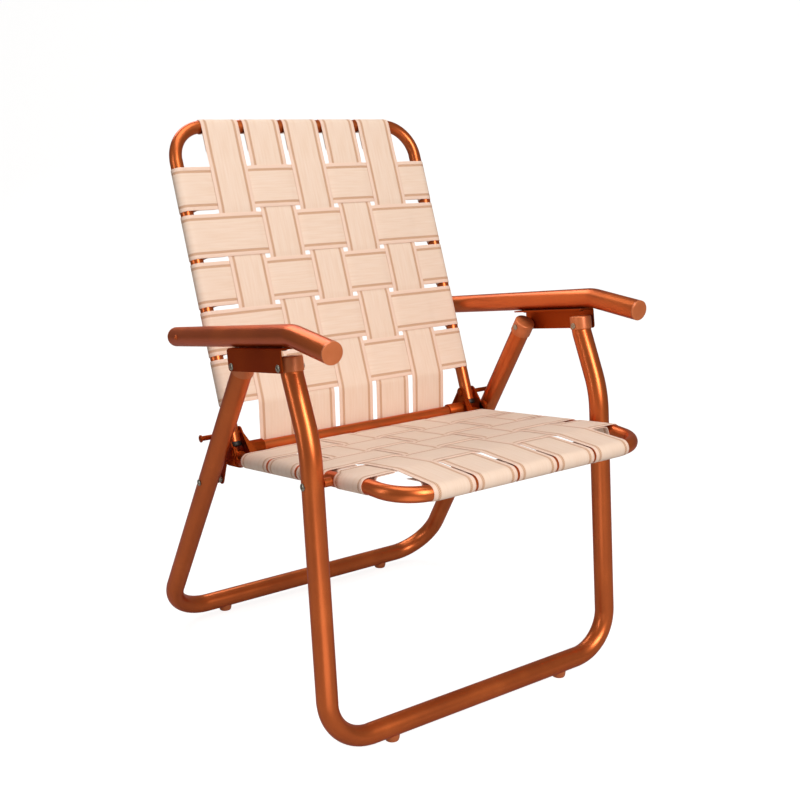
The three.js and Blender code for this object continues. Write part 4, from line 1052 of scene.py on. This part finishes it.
# %% Strap numbers
WEB_THICK = 1.0
WEAVE_STEP = 0.85              # rise or fall of a strap's middle at a crossing
RAMP = 13.0                    # length of the soft step between two crossings
WRAP = FRAME_RADIUS + 0.35 + WEB_THICK / 2
BAR_WRAP = BAR_RADIUS + FIT + WEB_THICK / 2
TAIL_START, TAIL_LENGTH, TAIL_DROP = 13.0, 42.0, 1.9
COLUMNS, ROWS = 5, 5
CROSS_WIDTH = 66.0
BACK_PITCH, BACK_ROW_PITCH, LOWEST_ROW = 69.2, 72.2, 74.8
FRONT_PITCH = 65.3             # long straps at the seat's front rail
SEAT_ROWS = [(166, 239), (89.5, 160), (18.5, 83.5), (-61, 12)]
STATION = 2.5                  # mm between the sections of a strap
WRAP_STEP = 6                  # degrees between the sections round a tube


def smooth(t):
    t = max(0.0, min(1.0, t))
    return t * t * (3 - 2 * t)


def weave(crossings, plane):
    """Height along a strap, from its crossings: (from, to, over) in rising order."""
    levels = [1 if over else -1 for _, _, over in crossings]
    starts = [crossings[0][0] - 4]
    starts += [(before[1] + after[0]) / 2 for before, after in zip(crossings, crossings[1:])]
    starts.append(crossings[-1][1] + 4)
    steps = [after - before for before, after in zip([0, *levels], [*levels, 0])]

    def height(s):
        rise = sum(step * smooth((s - start) / RAMP + 0.5) for start, step in zip(starts, steps))
        return plane + WEAVE_STEP * rise
    return height


def ring(centre, radius, start, end):
    """Points round a tube, in a strap's own [along, height]."""
    return arc(centre, radius, start, end, max(2, math.ceil(abs(end - start) / WRAP_STEP)))


def touch(point, centre, radius, turn):
    """The angle where a line from a point touches a circle, on the side given by turn."""
    offset = Vector(point) - Vector(centre)
    return math.degrees(math.atan2(offset.y, offset.x) + turn * math.acos(radius / offset.length))


def wrapped_end(centre, direction, plane, start=90.0):
    """Round the tube and back to the strap's own underside, where the tail is sewn."""
    sewn = (-TAIL_START, plane - TAIL_DROP - centre[1])
    leaving = touch(sewn, (0, 0), WRAP, 1) - 360
    points = ring((0, 0), WRAP, start, leaving)
    points += [(sewn[0] - (TAIL_LENGTH - TAIL_START) * t, sewn[1]) for t in (0.0, 0.5, 1.0)]
    return [(centre[0] + direction * a, centre[1] + h) for a, h in points]


def even_steps(line):
    """A line resampled at even steps and eased over its corners."""
    points = [Vector(p) for p in line]
    points = [p for i, p in enumerate(points) if i == 0 or (p - points[i - 1]).length > 1e-4]
    total = [0.0]
    for a, b in zip(points, points[1:]):
        total.append(total[-1] + (b - a).length)
    count = round(total[-1] / STATION)
    out, at = [], 0
    for i in range(count + 1):
        place = total[-1] * i / count
        while at < len(points) - 2 and total[at + 1] < place:
            at += 1
        share = (place - total[at]) / (total[at + 1] - total[at])
        out.append(points[at].lerp(points[at + 1], share))
    for _ in range(2):
        out = [out[0]] + [(a + 2 * b + c) / 4 for a, b, c in zip(out, out[1:], out[2:])] + [out[-1]]
    return out


def strap_shell(line, width, place):
    """A band along a line, with place(across, along, height) to the group's millimetres."""
    stations = even_steps(line)
    half = width / 2
    # The band's upper side, (across, height) in thicknesses, with a groove under the stitches
    top = [(-half, 0.0), (-half + 0.2, 0.36), (-half + 0.6, 0.5), (-half + 3.6, 0.5),
           (-half + 6.3, 0.47), (-half + 7.4, 0.4), (-half + 8.5, 0.47), (-half + 14, 0.5),
           (-half / 3, 0.5)]
    top += [(-u, t) for u, t in reversed(top)]
    section = top + [(u, -t) for u, t in reversed(top[1:-1])]
    shell = Shell()
    points, travelled = [], 0.0
    last = len(stations) - 1
    for i, here in enumerate(stations):
        before, after = stations[max(0, i - 1)], stations[min(last, i + 1)]
        heading = (after - before).normalized()
        travelled += (here - before).length
        for u, t in section:
            offset = Vector((-heading.y, heading.x)) * t * WEB_THICK
            points.append(place(u, here.x + offset.x, here.y + offset.y))
            shell.plan.append((u + half, travelled))
            shell.edge.append(half - abs(u))
    n = len(section)
    faces = [tuple(range(n)), tuple(range(len(points) - n, len(points)))[::-1]]
    for i in range(last):
        for k in range(n):
            m = (k + 1) % n
            faces.append((i * n + k, i * n + m, (i + 1) * n + m, (i + 1) * n + k))
    return shell.add(points, faces)


print("straps are", STRAP_WIDTH, "mm wide along the chair and", CROSS_WIDTH, "mm across its back")

# %% [markdown]
# ### Straps across
#
# Those of the back are straight. Those of the seat follow the rails, which close in towards
# the front, and the foremost one draws in beside the rivets that the seat turns on.

# %% Cross straps
ACROSS_STEPS = 160


def crossing_columns(row, pitch, parity):
    """Where a strap crosses the long straps, and whether it passes over each."""
    half, reach = STRAP_WIDTH / 2, COLUMNS // 2
    return [(place * pitch - half, place * pitch + half, (place + reach + 1 + row) % 2 == parity)
            for place in range(-reach, reach + 1)]


def cross_line(half, crossings, plane):
    """Tail, wrap, weave, wrap, tail."""
    height = weave(crossings, plane)
    span = half - 1
    places = [-span + 2 * span * i / ACROSS_STEPS for i in range(ACROSS_STEPS + 1)]
    return [*wrapped_end((-half, 0), -1, plane)[::-1], *[(s, height(s)) for s in places],
            *wrapped_end((half, 0), 1, plane)]


for row in range(1, ROWS + 1):
    middle = LOWEST_ROW + (ROWS - row) * BACK_ROW_PITCH
    make_piece(f"back_band_across_{row}", strap_shell(
        cross_line(BACK_HALF, crossing_columns(row, BACK_PITCH, 1), WRAP), CROSS_WIDTH,
        lambda u, a, h, middle=middle: (a, -h, middle + u)), BACK, WEBBING, "back",
        [f"back_cross_strap_{row}"])

GATHER = 0.16                  # share of its width that the foremost strap draws in on its way down
SLIP, SLIP_START = 7.0, 110    # how far its ends slip forward on the rails, and from where
for row, (front, rear) in enumerate(SEAT_ROWS, 1):
    middle = (front + rear) / 2
    half = rail_half(middle)
    back_share = (middle + SEAT_FRONT_AHEAD) / (BAR_AT[0] + SEAT_FRONT_AHEAD)
    pitch = FRONT_PITCH + (BACK_PITCH - FRONT_PITCH) * back_share

    def on_rails(u, a, h, middle=middle, half=half, front=front):
        y = middle + u
        if front < 0:
            y = front + (y - front) * (1 - GATHER * smooth((abs(a) - half + 4) / 8))
            y -= SLIP * smooth((abs(a) - SLIP_START) / (half - SLIP_START))
        return (a * rail_half(y) / half, y, h)

    make_piece(f"seat_band_across_{row}", strap_shell(
        cross_line(half, crossing_columns(row, pitch, 0), WRAP), rear - front, on_rails),
        SEAT, WEBBING, "seat", [f"seat_cross_strap_{row}"])
print(ROWS, "bands across the back,", len(SEAT_ROWS), "across the seat")

# %% [markdown]
# ### Long straps
#
# Each long strap is one piece from end to end, as on the real chair: round the top rail, down
# the back, behind and under the cross bar, forward over the seat and round the front rail.
# The frame holds it as two solids, because the back folds on the seat. Here it is one mesh,
# which is tied to neither body.

# %% Places of the long straps
EASE = 30                      # length over which a strap follows a rail's corner bend
TOP_ZONE, FRONT_ZONE = 60, 65  # where it starts: below the top rail, ahead of the seat's rivets


def to_chair(group, a, b):
    """A group's own [y, z] in the chair's side view."""
    local = CHAIR.inverted() @ (group @ Vector((0, a, b)))
    return local.y, local.z


def setback(x, half, radius):
    """How far a rail has drawn back from its straight run, on its corner bend."""
    past = min(max(0.0, abs(x) - (half - radius)), radius * 0.9)
    return radius - math.sqrt(radius ** 2 - past ** 2)


def beside_corner(ahead, back, corner):
    """How far ahead of a rail's middle a strap runs, once the rail has drawn back."""
    return ahead * corner / (corner - back) - back


def long_place(column):
    """Bends the outermost straps round the corners of the rails and spreads the rest."""
    place = column - (COLUMNS + 1) / 2

    def on_back(u, y, z):
        y_back, z_back = to_group(BACK, y, z)
        x = place * BACK_PITCH + u
        beyond = z_back - (BACK_HEIGHT - TOP_ZONE)
        if beyond > 0:
            back = setback(x, BACK_HALF, BACK_CORNER)
            moved = BACK_HEIGHT + beside_corner(z_back - BACK_HEIGHT, back, BACK_CORNER)
            y, z = to_chair(BACK, y_back, z_back + (moved - z_back) * smooth(beyond / EASE))
        return (x, y, z)

    def on_seat(u, y, z):
        y_seat, z_seat = to_group(SEAT, y, z)
        spread = (y_seat + SEAT_FRONT_AHEAD) / (BAR_AT[0] + SEAT_FRONT_AHEAD)
        x = place * (FRONT_PITCH + (BACK_PITCH - FRONT_PITCH) * spread) + u
        beyond = -FRONT_ZONE - y_seat
        if beyond > 0:
            back = setback(x, SEAT_FRONT_HALF, SEAT_CORNER)
            moved = -SEAT_FRONT_AHEAD - beside_corner(-SEAT_FRONT_AHEAD - y_seat, back, SEAT_CORNER)
            slope = SEAT_FRONT_DROP / (SEAT_FRONT_AHEAD - SEAT_BEND_AHEAD)
            y, z = to_chair(SEAT, y_seat + (moved - y_seat) * smooth(beyond / EASE),
                            z_seat + back * slope * smooth(beyond / EASE))
        return (x, y, z)

    def adapt(u, y, z):
        above_bar = to_group(BACK, y, z)[1] > -40 and to_group(SEAT, y, z)[0] > BAR_AT[0] - 12
        return on_back(u, y, z) if above_bar else on_seat(u, y, z)
    return adapt


print("long straps", BACK_PITCH, "mm apart on the back and", FRONT_PITCH, "mm at the seat's front")

# %% Long straps
BACK_STEPS, SEAT_STEPS = 170, 120


def back_part(column):
    """Tail, top rail and weave, down to below the lowest cross strap."""
    half = CROSS_WIDTH / 2
    middles = [LOWEST_ROW + i * BACK_ROW_PITCH for i in range(ROWS)]
    rows = [(middle - half, middle + half, (column + ROWS - i) % 2 == 0)
            for i, middle in enumerate(middles)]
    height = weave(rows, WRAP)
    high, low = BACK_HEIGHT - 1, rows[0][0] - 4
    run = [high - (high - low) * i / BACK_STEPS for i in range(BACK_STEPS + 1)]
    line = wrapped_end((BACK_HEIGHT, 0), 1, WRAP)[::-1] + [(s, height(s)) for s in run]
    return [to_chair(BACK, -h, s) for s, h in line]


def seat_part(column):
    """Weave, front rail and tail, sewn under the sloping front of the seat."""
    rows = [(-rear, -front, (column + i) % 2 == 1) for i, (front, rear) in enumerate(SEAT_ROWS, 1)]
    height = weave(rows, WRAP)
    begin, last = rows[0][0] - 4, rows[-1][1] + 3
    run = [begin + (last - begin) * i / SEAT_STEPS for i in range(SEAT_STEPS + 1)]
    ahead = SEAT_FRONT_AHEAD - last
    slope = math.degrees(math.atan2(SEAT_FRONT_DROP, ahead))
    at_tail = WRAP - SEAT_FRONT_DROP * (ahead - TAIL_LENGTH / 2) / ahead
    end = wrapped_end((SEAT_FRONT_AHEAD, -SEAT_FRONT_DROP), 1, at_tail, 90 - slope)
    return [to_chair(SEAT, -a, h) for a, h in [(s, height(s)) for s in run] + end]


def long_line(column):
    """The whole middle line of a long strap, in the chair's side view."""
    above, below = back_part(column), seat_part(column)
    bar = to_chair(SEAT, *BAR_AT)
    meets = touch(above[-1], bar, BAR_WRAP, -1)
    leaves = touch(below[0], bar, BAR_WRAP, 1)
    while leaves > meets:
        leaves -= 360
    return above + ring(bar, BAR_WRAP, meets, leaves) + below


for column in range(1, COLUMNS + 1):
    band = make_piece(f"long_band_{column}", strap_shell(
        long_line(column), STRAP_WIDTH, long_place(column)), CHAIR, WEBBING, None)
    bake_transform(band)
    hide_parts(f"back_long_strap_{column}", f"seat_long_strap_{column}")
print("a long strap has", len(band.data.polygons), "faces")

# %% [markdown]
# ## Floor, light and camera
#
# The chair stands on a plain pale floor, as in a catalogue. The floor is a sheet that curves up
# behind. To the camera it is white, with the chair's faint shadow. Painted tubes mirror it too,
# but dimmer: a real floor near a chair lies in the shade of the chair and of the photographer.
# Light comes from large soft lamps. The long highlights on the tubes are their reflections, so
# their places matter more than their strength: the softbox behind draws the line along each
# arm, and the low card in front draws the one down each front leg.

# %% Floor and backdrop
AZIMUTH, ELEVATION = -34.78, 14.56       # the camera's, in degrees
MIRROR_SHARE = 0.1             # how much of the background's own white shows in reflections
FLOOR_GLOW = 0.86              # the floor's own white, under which its shadow shows
FLOOR_NEAR, FLOOR_FAR, FLOOR_HALF = -3.0, 1.6, 4.0
SWEEP_RADIUS, BACKDROP_TOP = 1.2, 4.0
TO_CAMERA = Matrix.Rotation(math.radians(AZIMUTH), 4, "Z")


def background_share(tree):
    """1 for what the camera sees, straight or through something, and less for reflections."""
    rays = add_node(tree, "ShaderNodeLightPath").outputs
    straight = calc(tree, "MAXIMUM", rays["Is Camera Ray"], rays["Is Transmission Ray"])
    mirrored = calc(tree, "MULTIPLY", rays["Is Glossy Ray"], MIRROR_SHARE)
    return calc(tree, "MAXIMUM", straight, mirrored)


def white_sheet(name):
    """White to the camera, dim in reflections, and pale grey under its own glow for the shadow."""
    material, tree, shader = new_finish(name, Roughness=0.8)
    wire(tree, shader, {
        "Base Color": linear("#A4A4A4"), "Emission Color": (1, 1, 1, 1),
        "Emission Strength": calc(tree, "MULTIPLY", background_share(tree), FLOOR_GLOW)})
    return material


def sweep_floor():
    """A floor that curves up into a backdrop."""
    turns = [math.radians(a) for a in range(6, 91, 6)]
    profile = [(FLOOR_NEAR, 0.0), (FLOOR_FAR, 0.0)]
    profile += [(FLOOR_FAR + SWEEP_RADIUS * math.sin(a), SWEEP_RADIUS * (1 - math.cos(a)))
                for a in turns]
    profile.append((FLOOR_FAR + SWEEP_RADIUS, BACKDROP_TOP))
    points = [(x, y, z) for y, z in profile for x in (-FLOOR_HALF, FLOOR_HALF)]
    faces = [(2 * i, 2 * i + 1, 2 * i + 3, 2 * i + 2) for i in range(len(profile) - 1)]
    mesh = bpy.data.meshes.new("paper_sweep")
    mesh.from_pydata([TO_CAMERA @ Vector(p) for p in points], [], faces)
    mesh.polygons.foreach_set("use_smooth", [True] * len(faces))
    mesh.materials.append(white_sheet("paper, white, matt"))
    floor = bpy.data.objects.new("paper_sweep", mesh)
    bpy.context.scene.collection.objects.link(floor)
    return floor


print("floor:", sweep_floor().name, "turned", AZIMUTH, "degrees")

# %% Lamps and world
AIM = (0, 0, 0.4)              # middle of the chair
WARM, NEUTRAL = "#FFF9F2", "#FFFFFF"
OPEN_GLOW, SHARED_GLOW = 0.12, 0.88    # of the world: seen by everything, and by background_share


def soft_lamp(name, place, aim, size, power, colour):
    light = bpy.data.lights.new(name, "AREA")
    light.shape = "RECTANGLE"
    light.size, light.size_y = size
    light.energy = power
    light.color = linear(colour)[:3]
    lamp = bpy.data.objects.new(name, light)
    lamp.location = place
    lamp.rotation_euler = (Vector(aim) - Vector(place)).to_track_quat("-Z", "Y").to_euler()
    bpy.context.scene.collection.objects.link(lamp)
    return lamp


def by_camera(right, towards, up):
    """A place given as seen by the camera: to its right, towards it, and up."""
    return TO_CAMERA @ Vector((right, -towards, up))


lamps = [
    soft_lamp("key_softbox", by_camera(1.2, 1.95, 1.65), AIM, (0.9, 1.6), 48, WARM),
    soft_lamp("top_softbox", by_camera(-0.2, 0.2, 2.3), AIM, (1.6, 1.2), 16, "#FFFAF4"),
    soft_lamp("back_softbox", by_camera(-1.0, -1.6, 1.95), AIM, (1.6, 0.8), 17, NEUTRAL),
    soft_lamp("floor_card", by_camera(0.05, 0.95, 0.13), by_camera(0.05, 0.75, 1.1),
              (0.3, 1.0), 0.85, WARM),
    soft_lamp("left_strip", by_camera(-1.9, 1.1, 1.0), AIM, (0.3, 1.6), 7, NEUTRAL),
]

world = bpy.data.worlds.new("studio")
bpy.context.scene.world = world
world.use_nodes = True
tree = world.node_tree
wire(tree, tree.nodes["Background"], {
    "Color": (1, 1, 1, 1),
    "Strength": calc(tree, "MULTIPLY_ADD", background_share(tree), SHARED_GLOW, OPEN_GLOW)})
print("lamps:", ", ".join(f"{lamp.name} {lamp.data.energy:g} W" for lamp in lamps))

# %% [markdown]
# The camera was fitted to the photograph with the chair's own straight lines: 1086 pixels of
# focal length on an 800 pixel frame is a 48.87 mm lens on a 36 mm sensor.

# %% Camera
FOCAL_PIXELS, PHOTO_PIXELS, SENSOR = 1086, 800, 36
CAMERA_PLACE = (-0.8779, -1.26446, 0.8034)
azimuth, elevation = math.radians(AZIMUTH), math.radians(ELEVATION)
rightward = Vector((math.cos(azimuth), math.sin(azimuth), 0))
backward = Vector((
    math.sin(azimuth) * math.cos(elevation), -math.cos(azimuth) * math.cos(elevation),
    math.sin(elevation)))
camera_data = bpy.data.cameras.new("camera")
camera_data.sensor_width = SENSOR
camera_data.lens = FOCAL_PIXELS / PHOTO_PIXELS * SENSOR
camera = bpy.data.objects.new("camera", camera_data)
axes = Matrix((rightward, backward.cross(rightward), backward)).transposed().to_4x4()
camera.matrix_world = Matrix.Translation(CAMERA_PLACE) @ axes
bpy.context.scene.collection.objects.link(camera)
bpy.context.scene.camera = camera
bpy.context.scene.view_settings.view_transform = "Standard"
print("camera at", [round(v, 3) for v in camera.location])

# %% [markdown]
# ## Piece count
#
# The dressed chair must fill the same space as the CAD model. The last cell prints how many
# pieces were made.

# %% Count the pieces
print(len(PIECES), "pieces made")
